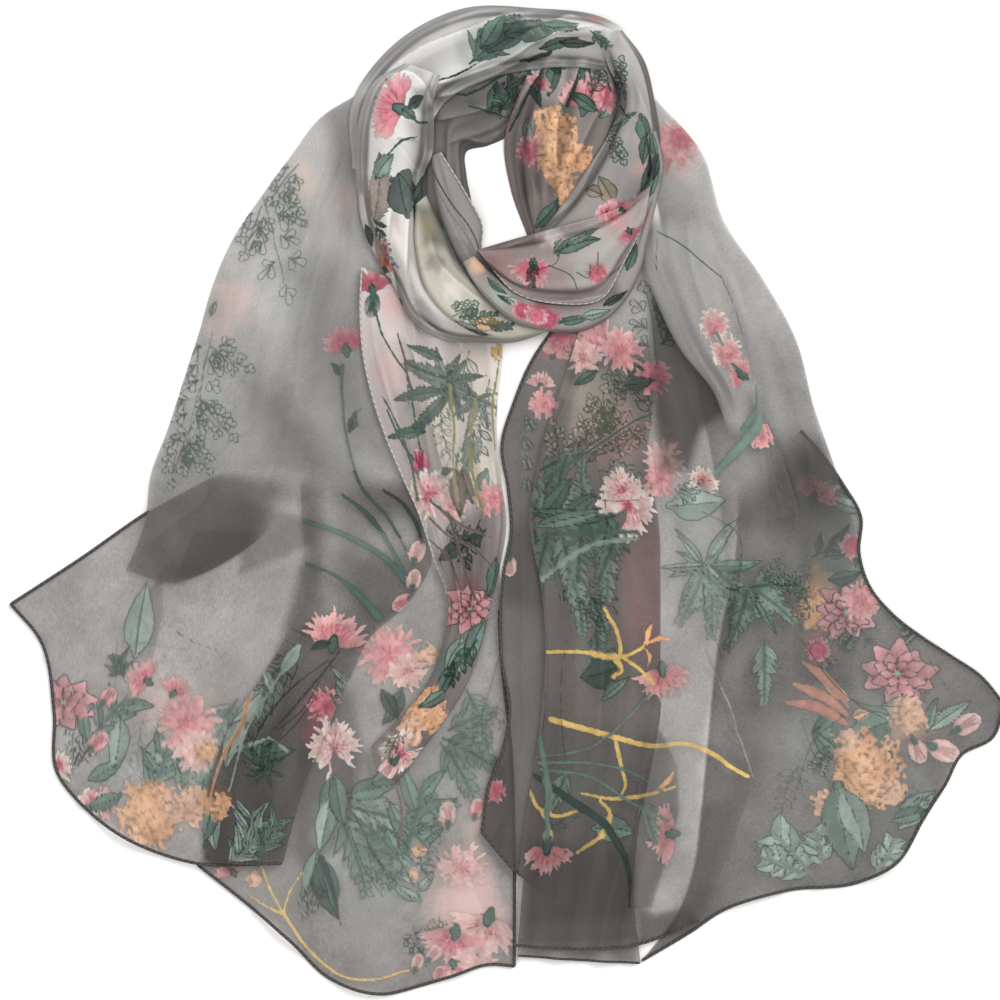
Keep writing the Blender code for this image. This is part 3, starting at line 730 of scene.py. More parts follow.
def sketch(paint, x, y, size, turn=0.0, strength=0.75):
    """A spray of leaves drawn in line alone, with no dye."""
    rng, spot = shades(x, y), paint.around(x, y, 1.2 * size, turn)
    paint.draw(spot, [(0, 0), (0.06 * size, 0.5 * size), (0, size)], strength)
    for k in range(SKETCHED_LEAVES):
        t = 0.12 + 0.84 * k / SKETCHED_LEAVES
        foot = np.array([0.05 * size * math.sin(3 * t), size * t])
        lean = math.radians((1 if k % 2 else -1) * rng.uniform(30, 60))
        out = np.array([math.sin(lean), math.cos(lean)])
        side, long = np.array([out[1], -out[0]]), 0.34 * size * (1 - 0.5 * t)
        for bow in (-0.22, 0.22):
            points = [foot, foot + 0.45 * long * out + bow * long * side, foot + long * out]
            paint.draw(spot, smooth_line(points, np.linspace(0, 1, 5)), strength)
        paint.draw(spot, [foot, foot + 0.8 * long * out], 0.8 * strength)


print("six kinds of leaf")

# %% [markdown]
# ## From grid to mesh
# A grid operator makes the faces, and every grid point then moves to its place on the cloth. The
# painted values go on as attributes, and the places on the unrolled cloth become the UV map, so
# that the weave follows the cloth over its folds.

# %% Make a piece of cloth
Stretch = namedtuple("Stretch", "cloth piece hems held")
stretches = []


def put(mesh, name, values):
    """Keep four painted values as an attribute on a mesh's points."""
    layer = mesh.attributes.new(name, "FLOAT_COLOR", "POINT")
    layer.data.foreach_set("color", values.astype(np.float32).ravel())


def grid_mesh(name, places, uv):
    """A mesh whose grid points lie at places (rows, columns, 3) in metres."""
    rows, columns = places.shape[0] - 1, places.shape[1] - 1
    shape = bmesh.new()
    bmesh.ops.create_grid(shape, x_segments=columns, y_segments=rows, size=1.0)
    mesh = bpy.data.meshes.new(name)
    shape.to_mesh(mesh)
    shape.free()
    co = np.empty(3 * len(mesh.vertices), np.float32)
    mesh.vertices.foreach_get("co", co)
    co = co.reshape(-1, 3)
    order = (np.rint((co[:, 1] + 1) / 2 * rows).astype(int),
             np.rint((co[:, 0] + 1) / 2 * columns).astype(int))
    mesh.vertices.foreach_set("co", places[order].astype(np.float32).ravel())
    corners = np.empty(len(mesh.loops), np.int32)
    mesh.loops.foreach_get("vertex_index", corners)
    uv_map = mesh.uv_layers.new(name="cloth")
    uv_map.data.foreach_set("uv", uv[order][corners].astype(np.float32).ravel())
    mesh.update()
    normals = np.empty(3 * len(mesh.polygons), np.float32)
    mesh.polygons.foreach_get("normal", normals)
    if normals[2::3].mean() < 0:
        mesh.flip_normals()
    mesh.shade_smooth()
    return mesh, order


def make_piece(name, mesh, finish):
    """Put a finished mesh in the scene, on the one body."""
    mesh.materials.append(finish)
    piece = bpy.data.objects.new(name, mesh)
    bpy.context.scene.collection.objects.link(piece)
    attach(piece, "root")
    return piece


def make_cloth(paint, finish, held="laid"):
    """Make one painted stretch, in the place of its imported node."""
    cloth = paint.cloth
    places = np.dstack([cloth.flat, cloth.z]) * MM
    mesh, order = grid_mesh("scarf_" + cloth.name, places, cloth.unrolled * MM)
    pick = order[0] * (cloth.columns + 1) + order[1]
    # The painted shade of the pleats and hollows darkens the ground and dye attributes alike.
    shade = cloth.shade.reshape(-1, 1)
    full = np.ones((len(shade), 1))
    put(mesh, "ground", np.hstack([paint.ground * shade, full])[pick])
    put(mesh, "dye", np.hstack([paint.dye * shade, full])[pick])
    put(mesh, "marks", np.stack([paint.ink, paint.line, paint.rim, paint.sheer], axis=1)[pick])
    piece = make_piece("scarf_" + cloth.name, mesh, finish)
    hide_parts(cloth.name)
    stretches.append(Stretch(cloth, piece, [], held))
    print(piece.name, "has", 2 * len(mesh.polygons), "triangles, up to",
          round(float(cloth.z.max()), 1), "mm high")


print("grids become cloth")

# %% [markdown]
# ## The rolled hem
# The edge of chiffon is rolled tight and overlocked with thread, which makes a narrow round cord
# along it, 2.4 mm wide. The hem is a tube of its own along the cloth's edge. Its surface winds like
# the thread does, one turn every 2.2 mm.

# %% Make a hem
HEM_HALF = 1.05
HEM_FLAT = 0.8
STITCH, STITCH_RELIEF = 2.2, 0.16
HEM_SIDES = 6
HEM_PITCH = 0.7


def edge_line(cloth, parts):
    """Places along the named sides of a stretch, one after another, at an even pitch."""
    surface = np.dstack([cloth.flat, cloth.z])
    lines = []
    for side, begins, ends in parts:
        line = {"left": surface[:, 0], "right": surface[:, -1],
                "start": surface[0], "end": surface[-1]}[side]
        line = line if begins < ends else line[::-1]
        low, high = sorted((begins, ends))
        low, high = (low, high) if begins < ends else (1 - high, 1 - low)
        last = len(line) - 1
        lines.append(line[round(low * last):round(high * last) + 1])
    line = np.concatenate(lines)
    steps = np.linalg.norm(np.diff(line, axis=0), axis=1)
    at = np.concatenate([[0.0], np.cumsum(steps)])
    even = np.arange(0, at[-1], HEM_PITCH)
    return np.stack([np.interp(even, at, line[:, k]) for k in range(3)], axis=1), even


def make_hem(cloth, parts, finish, half=HEM_HALF):
    """Roll a hem along sides of the stretch that was made last."""
    line, along = edge_line(cloth, parts)
    way = np.gradient(line, axis=0)
    way = way / np.linalg.norm(way, axis=1)[:, None]
    side = np.cross([0.0, 0.0, 1.0], way)
    side = side / np.linalg.norm(side, axis=1)[:, None]
    up = np.cross(way, side)
    turn = np.linspace(0, 2 * math.pi, HEM_SIDES + 1)[None, :]
    ends = np.sqrt(np.clip(np.minimum(along, along[-1] - along) / half, 0.02, 1))[:, None]
    wound = half * ends * (1 + STITCH_RELIEF * np.cos(2 * math.pi * along[:, None] / STITCH - turn))
    tube = line[:, None] + (wound * np.cos(turn))[..., None] * side[:, None] \
        + (wound * HEM_FLAT * np.sin(turn))[..., None] * up[:, None]
    uv = np.dstack([along[:, None] + 0 * turn, half * turn + 0 * along[:, None]]) * MM
    mesh, _ = grid_mesh("hem_" + cloth.name, tube * MM, uv)
    shape = bmesh.new()
    shape.from_mesh(mesh)
    bmesh.ops.remove_doubles(shape, verts=shape.verts, dist=1e-6)
    bmesh.ops.holes_fill(shape, edges=shape.edges, sides=HEM_SIDES)
    bmesh.ops.recalc_face_normals(shape, faces=shape.faces)
    shape.to_mesh(mesh)
    shape.free()
    heap.cover(tube[:, :HEM_SIDES, :2], tube[:, :HEM_SIDES, 2])
    piece = make_piece("hem_" + cloth.name, mesh, finish)
    stretches[-1].hems.append(piece)
    print(piece.name, "is", round(along[-1]), "mm long")


print("hems are tubes with", HEM_SIDES, "sides")

# %% [markdown]
# ## Shader groups
# Three effects are shared by every cloth material. The crepe group gives the grain of twisted
# chiffon yarn, as a tone and a height. The crisp group turns a stored slope into a sharp edge. The
# rim group finds the middle of a slope, which is where the pen drew round a motif.

# %% The crepe grain, the crisp edge and the pen's rim
YARNS_PER_METRE = 1150.0
RIM_SLOPE, RIM_PEAK = -5.0, 1.55


def shader_group(name, inputs, outputs):
    """An empty node group with named sockets, and what it is given."""
    tree = bpy.data.node_groups.new(name, "ShaderNodeTree")
    for titles, way in ((inputs, "INPUT"), (outputs, "OUTPUT")):
        for title in titles:
            kind = "NodeSocketVector" if title == "Place" else "NodeSocketFloat"
            tree.interface.new_socket(title, in_out=way, socket_type=kind)
    return tree, tree.nodes.new("NodeGroupInput").outputs


def node(tree, kind, values=None, **settings):
    """A node with its settings. Each of its sockets takes a value, or a link from another node."""
    made = tree.nodes.new("ShaderNode" + kind)
    for key, value in settings.items():
        setattr(made, key, value)
    for key, value in (values or {}).items():
        if isinstance(value, bpy.types.NodeSocket):
            tree.links.new(value, made.inputs[key])
        else:
            made.inputs[key].default_value = value
    return made


def reckon(tree, operation, *values, **settings):
    """What a Math node makes of its values."""
    return node(tree, "Math", dict(enumerate(values)), operation=operation, **settings).outputs[0]


def give(tree, **results):
    """Connect the results of a group."""
    out = tree.nodes.new("NodeGroupOutput")
    for title, result in results.items():
        tree.links.new(result, out.inputs[title])


crepe, given = shader_group("crepe", ("Place", "Strength"), ("Tone", "Height"))
yarns = node(crepe, "TexNoise", {"Vector": given["Place"], "Scale": YARNS_PER_METRE, "Detail": 1.0,
                                 "Roughness": 0.7}).outputs["Fac"]
uneven = reckon(crepe, "MULTIPLY", reckon(crepe, "SUBTRACT", yarns, 0.5), given["Strength"])
give(crepe, Tone=reckon(crepe, "ADD", uneven, 1.0), Height=yarns)

crisp, given = shader_group("crisp", ("Slope", "Low", "High"), ("Mask",))
ramp = node(crisp, "MapRange", {"Value": given["Slope"], "From Min": given["Low"],
                                "From Max": given["High"]}, interpolation_type="SMOOTHSTEP")
give(crisp, Mask=ramp.outputs[0])

rim, given = shader_group("rim", ("Slope", "Strength"), ("Mask",))
distance = reckon(rim, "ABSOLUTE", reckon(rim, "SUBTRACT", given["Slope"], 0.5))
band = reckon(rim, "MULTIPLY_ADD", distance, RIM_SLOPE, RIM_PEAK, use_clamp=True)
give(rim, Mask=reckon(rim, "MULTIPLY", band, given["Strength"]))
print("groups:", crepe.name, crisp.name, rim.name)

# %% [markdown]
# ## Chiffon and thread
# Chiffon scatters light softly, shows a faint sheen at grazing angles, and lets through about half
# of what falls on it. So its opacity comes from the painted sheerness, not from a glass-like
# shader. Where dye fills the yarns the cloth is denser. Two finishes differ in grain: the open one
# is for the tails, and the gathered one is for the loop, where many layers lie together.

# %% Materials
DYED_SHEER = 0.78
LINE_TINT = (0.15, 0.235, 0.20, 1.0)
DYE_EDGE = {"Low": 0.36, "High": 0.64}
LINE_EDGE = {"Low": 0.36, "High": 0.76}
COLOUR_A, COLOUR_B, COLOUR_OUT = 6, 7, 2
NUMBER_A, NUMBER_B = 2, 3
THREAD_TURNS = 145.0
THREAD_SHADE, THREAD_HIGHLIGHT = 0.70, 1.3


def new_finish(name, values):
    """A material with values on its Principled shader, its nodes and the shader's sockets."""
    finish = bpy.data.materials.new(name)
    finish.use_nodes = True
    shader = finish.node_tree.nodes["Principled BSDF"]
    for key, value in values.items():
        shader.inputs[key].default_value = value
    return finish, finish.node_tree, shader.inputs


def painted(tree, name):
    """A painted attribute of the piece."""
    return node(tree, "Attribute", attribute_type="GEOMETRY", attribute_name=name).outputs


def blend(tree, factor, first, second, **settings):
    """Two colours mixed."""
    values = {"Factor": factor, COLOUR_A: first, COLOUR_B: second}
    return node(tree, "Mix", values, data_type="RGBA", **settings).outputs[COLOUR_OUT]


def chiffon(name, grain_strength, sheen):
    """A sheer printed cloth."""
    finish, tree, shader = new_finish(name, {
        "Roughness": 0.85, "Specular IOR Level": 0.2, "Sheen Weight": sheen, "Sheen Roughness": 0.5})
    marks = painted(tree, "marks")
    ink, pen, edge = node(tree, "SeparateColor", {"Color": marks["Color"]}).outputs
    dyed = node(tree, "Group", {"Slope": ink, **DYE_EDGE}, node_tree=crisp).outputs[0]
    line = node(tree, "Group", {"Slope": pen, **LINE_EDGE}, node_tree=crisp).outputs[0]
    outline = node(tree, "Group", {"Slope": ink, "Strength": edge}, node_tree=rim).outputs[0]
    drawn = reckon(tree, "MAXIMUM", line, outline)
    # The ground and dye attributes already hold the painted shade of the folds.
    colour = blend(tree, dyed, painted(tree, "ground")["Color"], painted(tree, "dye")["Color"])
    colour = blend(tree, drawn, colour, LINE_TINT, blend_type="MULTIPLY")
    place = node(tree, "UVMap", uv_map="cloth").outputs[0]
    yarn = node(tree, "Group", {"Place": place, "Strength": grain_strength}, node_tree=crepe).outputs
    colour = blend(tree, 1.0, colour, yarn["Tone"], blend_type="MULTIPLY")
    tree.links.new(colour, shader["Base Color"])
    values = {"Factor": reckon(tree, "MAXIMUM", dyed, drawn), NUMBER_A: marks["Alpha"],
              NUMBER_B: reckon(tree, "MAXIMUM", marks["Alpha"], DYED_SHEER)}
    tree.links.new(node(tree, "Mix", values, data_type="FLOAT").outputs[0], shader["Alpha"])
    relief = node(tree, "Bump", {"Strength": 0.30, "Distance": 0.0003, "Height": yarn["Height"]})
    tree.links.new(relief.outputs[0], shader["Normal"])
    return finish


def thread(name, colour):
    """Overlock thread, with painted shade between its turns and a painted highlight on them."""
    finish, tree, shader = new_finish(name, {"Roughness": 0.8, "Specular IOR Level": 0.25})
    place = node(tree, "UVMap", uv_map="cloth").outputs[0]
    turns = node(tree, "TexWave", {"Vector": place, "Scale": THREAD_TURNS, "Distortion": 1.0,
                                   "Detail": 1.0}, wave_type="BANDS", bands_direction="DIAGONAL")
    # Painted shade between the turns and a painted highlight on them.
    deep, highlit = ((*(share * np.array(colour)), 1.0) for share in (THREAD_SHADE, THREAD_HIGHLIGHT))
    tree.links.new(blend(tree, turns.outputs["Fac"], deep, highlit), shader["Base Color"])
    return finish


open_chiffon = chiffon("open_chiffon", 0.62, 0.10)
gathered_chiffon = chiffon("gathered_chiffon", 0.30, 0.15)
dark_thread = thread("dark_thread", (0.060, 0.058, 0.056))
pink_thread = thread("pink_thread", (0.22, 0.095, 0.105))
pale_thread = thread("pale_thread", (0.42, 0.40, 0.385))
print("two cloths and three threads")

# %% [markdown]
# ## The left tail
# The left tail is five stretches, lowest layer first. Its corner is turned up to the left, a second
# layer hangs lowest, and a dark tongue of doubled cloth lies between them. One wide, plain drape
# comes down from the neck over all three, and a narrow flowered stretch lies on its inner side.
# Alpha fades to nothing where a stretch only runs on under its neighbour, so no cut edge shows.

# %% Ground colours and helpers
GREY = (0.106, 0.092, 0.083)
MID_GREY = (0.160, 0.147, 0.138)
DARK_GREY = (0.066, 0.059, 0.055)
SILVER = (0.40, 0.39, 0.375)
SHELL = (0.56, 0.49, 0.48)
IVORY = (0.56, 0.51, 0.42)


def sow(paint, rows):
    """Paint rows of motifs: what, where in plan, how large, turned which way, in which dye."""
    for motif, *how in rows:
        motif(paint, *how)


def paint_each(brush, rows, *shared):
    """Use one brush for every row of values, with the values that all rows share."""
    for row in rows:
        brush(*row, *shared)


def draw_each(brush, lines, *shared):
    """Draw every line of places with one brush, in the same way."""
    for places in lines:
        brush(places, *shared)


def soften(paint, **reaches):
    """Fade the cloth out towards the named sides, over so many millimetres."""
    for side, reach in reaches.items():
        paint.sheer *= ease(paint.cloth.edge_distance(side).ravel() / reach)


print("grounds:", GREY, "to", IVORY)

# %% The lowest layer of the left tail
left_lower = Cloth(
    "left_lower", "wall",
    sections=[(-133, -27, -3, -27), (-147, -81, -3, -96), (-164, -134, 4, -165), (-187, -184, 6, -234),
              (-200, -238, 6, -304)],
    hem=[(-172, -260), (-140, -287), (-114, -312), (-78, -322), (-56, -317), (-36, -311), (-10, -303)],
    folds=[(0.4, 0.3, 0.11, 6, 0.25), (0.66, 0.58, 0.12, 4.5, 0.35), (0.9, 0.84, 0.09, 3.5, 0.3)],
    creases=[(0.3, 0.22, 4, 1.6, 0.3), (0.52, 0.47, 5, 1.8, 0.2, 0.9), (0.75, 0.7, 4, 1.4, 0.4),
             (0.46, 0.4, 3, -1.2, 0.3, 0.8)],
    pleats=[([(-133, -265), (-119, -222), (-112, -177), (-119, -131)], 14, 1.6, 0.22),
            ([(-114, -131), (-99, -177), (-103, -229), (-109, -278)], 12, 1.2, 0.18),
            ([(2, -300), (-23, -248), (-38, -196), (-42, -157)], 12, 1, 0.14)], pitch=1.14,
    hems=("end", "right"))
lower_print = Print(left_lower, (GREY, GREY), (OPEN, 0.6))
paint_each(lower_print.wash, [
    (-23, -261, 26, BLUSH, 0.9, 1.5), (-78, -235, 34, LEAF, 0.55), (-32, -170, 26, LEAF, 0.4, 1.4),
    (-114, -226, 15, PALE_LEAF, 0.6, 2.2), (-76, -102, 18, BLUSH, 0.5), (-13, -206, 14, BLUSH, 0.5)])
lower_print.veil_and_shade([
    (-132, -131), (-99, -125), (-93, -170), (-99, -216), (-112, -230), (-129, -244),
    (-137, -229)], 0.75, 0.7, 5)
sow(lower_print, [
    (sketch, -99, -204, 66, 128, 0.8), (sketch, -99, -204, 58, 148, 0.8),
    (sketch, -101, -200, 52, 168, 0.7), (fern, -104, -200, 64, 118, LEAF), (fern, -106, -204, 60, 136),
    (fern, -107, -207, 54, 152, LEAF), (fern, -104, -196, 60, 104, PALE_LEAF),
    (fern, -66, -229, 42, 20, LEAF), (fern, -67, -226, 46, 44, LEAF), (fern, -42, -159, 46, 140, LEAF),
    (fern, -40, -156, 46, 112), (fern, -25, -125, 44, 150, LEAF), (fern, -37, -151, 34, 60, LEAF),
    (twig, -68, -243, 64, 14), (twig, -55, -265, 40, 350, PALE_LEAF), (leaf, -101, -193, 34, 78),
    (leaf, -86, -185, 30, 64, PALE_LEAF), (leaf, -114, -182, 40, 178, GREEN),
    (leaf, -114, -196, 36, 190, PALE_LEAF), (leaf, -122, -229, 34, 196),
    (leaf, -119, -234, 42, 164, GREEN), (leaf, -110, -181, 34, 168), (lobed, -119, -248, 24, 206),
    (lobed, -60, -278, 24, 160), (lobed, -42, -271, 20, 190), (frill, -111, -162, 19, 350, BLUSH),
    (cornflower, -119, -139, 15, 350, ROSE), (blossom, -75, -102, 21), (blossom, -63, -113, 12, 0, BLUSH),
    (pompon, -50, -102, 8, 0, PEACH), (leaf, -67, -125, 26, 210, GREEN),
    (leaf, -80, -125, 22, 150, DARK_LEAF), (blossom, -28, -240, 17, 0, BLUSH),
    (cornflower, -10, -271, 26, 200, BLUSH), (cornflower, -32, -281, 22, 190),
    (blossom, -18, -306, 16, 0, BLUSH), (cornflower, -34, -302, 14, 170, BLUSH),
    (bud, -57, -302, 6, 20, BLUSH), (bud, -47, -297, 6, 40, BLUSH), (bud, -43, -310, 6, 10),
    (bud, -37, -206, 8, 0, BLUSH), (bud, -18, -202, 7, 20), (cornflower, -176, -244, 13, 330),
    (pompon, -163, -248, 6, 0, PEACH), (pompon, -60, -245, 5, 0, PEACH), (pompon, -55, -229, 6, 0, PEACH),
    (sketch, -42, -196, 44, 190, 0.7), (sketch, -3, -131, 40, 200, 0.7)])
paint_each(lower_print.trail, [
    ([(-161, -237), (-153, -255), (-144, -270), (-123, -298), (-107, -310), (-88, -313),
     (-62, -307)], (0.6, 1, 0.7), YELLOW),
    ([(-167, -258), (-155, -265), (-144, -270)], (0.5, 0.9), YELLOW),
    ([(-133, -243), (-140, -256), (-144, -270)], (0.5, 0.9), YELLOW),
    ([(-119, -234), (-112, -255), (-106, -278)], (1.6, 1.2, 0.3), DARK_LEAF),
    ([(-70, -188), (-67, -204), (-70, -229)], (0.8, 0.6), BROWN),
    ([(-101, -204), (-73, -229), (-53, -263)], (0.6, 0.5), GREEN),
    ([(-102, -200), (-68, -211), (-42, -235)], (0.6, 0.4), GREEN)])
draw_each(lower_print.pencil, [
    [(-99, -204), (-81, -237), (-60, -261)], [(-97, -200), (-65, -224), (-47, -251)],
    [(-101, -216), (-90, -243), (-79, -259)], [(-79, -196), (-68, -228), (-66, -235)],
    [(-3, -99), (-12, -131), (-23, -170)]])
soften(lower_print, start=24, left=10)
make_cloth(lower_print, open_chiffon)
make_hem(left_lower, [("end", 0, 1), ("right", 1, 0.16)], dark_thread)

# %% The turned-up corner
left_wing = Cloth(
    "left_wing", "wall",
    sections=[(-182, 18, -114, 18), (-230, -8, -114, -69), (-275, -39, -136, -154),
              (-321, -69, -158, -238)],
    hem=[(-302, -92), (-293, -139), (-291, -178), (-272, -202), (-238, -225), (-201, -237)],
    folds=[(0.42, 0.3, 0.12, 3.5, 0.45, 0.95), (0.8, 0.66, 0.11, 5, 0.35)],
    creases=[(0.6, 0.52, 5, 1.4, 0.4), (0.25, 0.15, 6, 1.1, 0.5)],
    pleats=[([(-241, -100), (-235, -66), (-220, -48)], 12, 1, 0.14),
            ([(-222, -49), (-222, -73), (-229, -104)], 8, 0.8, 0.14)], pitch=1.18, hems=("end", "left"))
wing_print = Print(left_wing, (GREY, GREY), (OPEN, OPEN))
paint_each(wing_print.wash, [
    (-216, -135, 26, BLUSH, 0.4), (-237, -170, 30, LEAF, 0.35), (-198, -183, 26, LEAF, 0.35)])
sow(wing_print, [
    (sketch, -231, -131, 44, 190, 0.6), (sketch, -250, -157, 40, 150, 0.6),
    (sketch, -218, -99, 34, 40, 0.45), (leaf, -240, -102, 48, 8, PALE_LEAF),
    (leaf, -245, -110, 16, 300, GREEN), (palmate, -250, -113, 17, 20, GREEN), (twig, -275, -161, 46, 42),
    (leaf, -270, -183, 26, 60), (leaf, -250, -144, 34, 190, PALE_LEAF),
    (leaf, -224, -154, 38, 186, PALE_LEAF), (leaf, -216, -157, 36, 170), (leaf, -195, -177, 34, 192),
    (leaf, -190, -190, 30, 172, PALE_LEAF), (twig, -231, -193, 42, 20), (fern, -174, -131, 50, 212, LEAF),
    (fern, -182, -144, 46, 200, PALE_LEAF), (lobed, -270, -174, 24, 330), (lobed, -208, -177, 26, 20),
    (dahlia, -287, -133, 21), (cornflower, -231, -120, 15, 300), (cornflower, -216, -128, 13, 40),
    (blossom, -207, -146, 20), (blossom, -201, -165, 14, 0, BLUSH), (pompon, -194, -165, 8),
    (bud, -258, -129, 7, 40), (bud, -265, -159, 8, 50), (daisy, -291, -174, 12), (blossom, -263, -198, 12),
    (frill, -268, -196, 10, 200, BLUSH), (pompon, -231, -206, 25), (pompon, -205, -200, 16, 0, PEACH),
    (pompon, -187, -196, 11), (leaf, -188, -206, 24, 200), (cornflower, -283, -193, 9, 250),
    (leaf, -250, -193, 26, 250)])
draw_each(wing_print.pencil, [
    [(-245, -92), (-231, -95), (-207, -99)], [(-252, -92), (-255, -131), (-267, -157), (-283, -180)],
    [(-237, -125), (-248, -141), (-265, -161)], [(-224, -79), (-205, -92), (-179, -102)]], 0.7)
wing_print.veil_and_shade([(-241, -102), (-237, -66), (-222, -48), (-222, -74), (-229, -105)], 0.85, 0.62, 0.8)
wing_print.veil_and_shade([(-172, -1), (-124, -15), (-124, -29), (-158, -44), (-172, -49)], 0.85, 0.66, 4)
soften(wing_print, start=18, right=14)
make_cloth(wing_print, open_chiffon)
make_hem(left_wing, [("left", 0.34, 1), ("end", 0, 1)], dark_thread)

# %% The dark tongue
BLADES = [
    ([(-146, -17), (-133, -15), (-117, -19), (-96, -28), (-77, -40),
     (-62, -57)], (0.6, 1.6, 1.8, 1.9, 2.2), GREEN),
    ([(-158, -40), (-140, -40), (-122, -45), (-106, -53), (-94, -64), (-81, -78)], (0.7, 0.8, 1, 2.4, 3),
     GREEN), ([(-106, 2), (-92, -8), (-81, -21), (-71, -38), (-63, -55)], (0.7, 1.6, 1.4, 1), GREEN),
    ([(-79, 5), (-67, -3), (-58, -16), (-53, -32)], (0.7, 1.2, 0.8), DARK_LEAF),
    ([(-104, 86), (-105, 70), (-104, 51), (-101, 30), (-94, 8), (-77, -12),
     (-63, -36)], (1, 0.8, 0.7, 0.8), GREEN)]
left_tongue = Cloth(
    "left_tongue", "wall",
    sections=[(-133, 18, -65, 18), (-132, -12, -53, -11), (-130, -41, -48, -42), (-132, -71, -64, -69),
              (-146, -97, -87, -90), (-162, -122, -101, -118), (-178, -147, -114, -147),
              (-189, -174, -126, -176), (-195, -204, -136, -206), (-195, -233, -144, -237)],
    hem=[(-170, -237)], folds=[(0.28, 0.34, 0.22, 5, 0.2), (0.8, 0.76, 0.16, 3.5, 0.3)],
    creases=[(0.52, 0.5, 4, 1.5, 0.3), (0.12, 0.16, 3, 1, 0.4)],
    pleats=[([(-86, -92), (-114, -113), (-140, -144), (-154, -190)], 14, 1.6, 0.25),
            ([(-195, -196), (-180, -162), (-158, -125), (-131, -92)], 12, 1.2, 0.18)], pitch=1.06,
    hems=("end",))
tongue_print = Print(left_tongue, (GREY, DARK_GREY), (0.42, 0.7))
tongue_print.wash(-133, -105, 22, MID_GREY, 0.5)
tongue_print.wash(-158, -131, 12, PALE_LEAF, 0.5, 2.6, 215)
tongue_print.wash(-117, -144, 16, ROSE, 0.5, 1.6, 0)
sow(tongue_print, [
    (sketch, -133, -98, 50, 222, 0.9), (sketch, -140, -105, 46, 206, 0.8),
    (sketch, -158, -131, 36, 200, 0.8), (twig, -154, -108, 46, 214, PALE_LEAF),
    (leaf, -158, -125, 40, 222, PALE_LEAF), (leaf, -170, -144, 34, 200, PALE_LEAF),
    (leaf, -172, -162, 38, 92, GREEN), (leaf, -158, -159, 26, 186, GREEN),
    (palmate, -158, -177, 22, 20, GREEN), (twig, -172, -243, 44, 12, PALE_LEAF, 9, 0.12),
    (twig, -181, -240, 40, 44, PALE_LEAF, 8, 0.12), (twig, -161, -235, 34, 30, LEAF, 8, 0.12),
    (leaf, -193, -196, 34, 172, PALE_LEAF), (leaf, -190, -196, 30, 196), (pompon, -185, -200, 10),
    (cornflower, -112, -96, 24, 12), (leaf, -114, -94, 14, 250, DARK_LEAF),
    (leaf, -133, -96, 24, 214, PALE_LEAF), (blossom, -116, -135, 13, 0, ROSE),
    (twig, -107, -139, 26, 8, PALE_LEAF, 7, 0.12), (leaf, -99, -154, 26, 350, GREEN),
    (frill, -111, -162, 19, 350, BLUSH)])
paint_each(tongue_print.trail, [
    ([(-162, -110), (-167, -131), (-172, -150), (-181, -162)], (0.7, 1.2, 0.9), (0.46, 0.27, 0.17)),
    ([(-172, -150), (-182, -165), (-189, -185), (-193, -204)], (0.8, 1.4, 0.9), (0.46, 0.27, 0.17)),
    ([(-135, -96), (-153, -125), (-166, -146), (-179, -190)], (1.4, 0.8, 0.9), PALE_LEAF),
    ([(-107, -100), (-133, -131), (-158, -159)], (0.6, 0.4), DARK_LEAF),
    ([(-166, -160), (-153, -156), (-141, -164)], (0.5, 0.9, 0.5), PALE_LEAF)], 0.4)
draw_each(tongue_print.pencil, [
    [(-133, -40), (-114, -48), (-99, -60)], [(-171, -86), (-151, -88), (-136, -96)],
    [(-172, -105), (-158, -108), (-146, -103)], [(-154, -74), (-140, -84), (-120, -92)],
    [(-123, -131), (-136, -147), (-146, -157)], [(-119, -118), (-133, -139), (-149, -151)],
    [(-114, -105), (-140, -125), (-161, -151)], [(-133, -118), (-153, -139), (-166, -164)]], 0.85)
tongue_print.veil_and_shade([
    (-158, -27), (-135, -26), (-122, -39), (-101, -46), (-98, -81), (-128, -102),
    (-162, -91)], 1.35, 0.14, 8)
tongue_print.veil_and_shade([(-128, -1), (-75, -5), (-89, -32), (-104, -36), (-128, -31)], 1, 0.64, 9)
for places, widths, dye in BLADES:
    tongue_print.trail(places, widths, dye, 0.5)
sow(tongue_print, [(bud, -57, -35, 8, 20, BLUSH), (bud, -59, -53, 7, 10, BLUSH), (bud, -66, -68, 8, 240)])
tongue_print.veil_and_shade([(-110, 5), (-49, 5), (-49, -40), (-75, -66), (-104, -40)], 1, 0.62, 8)
soften(tongue_print, start=18)
make_cloth(tongue_print, open_chiffon)
make_hem(left_tongue, [("end", 0, 1)], dark_thread)

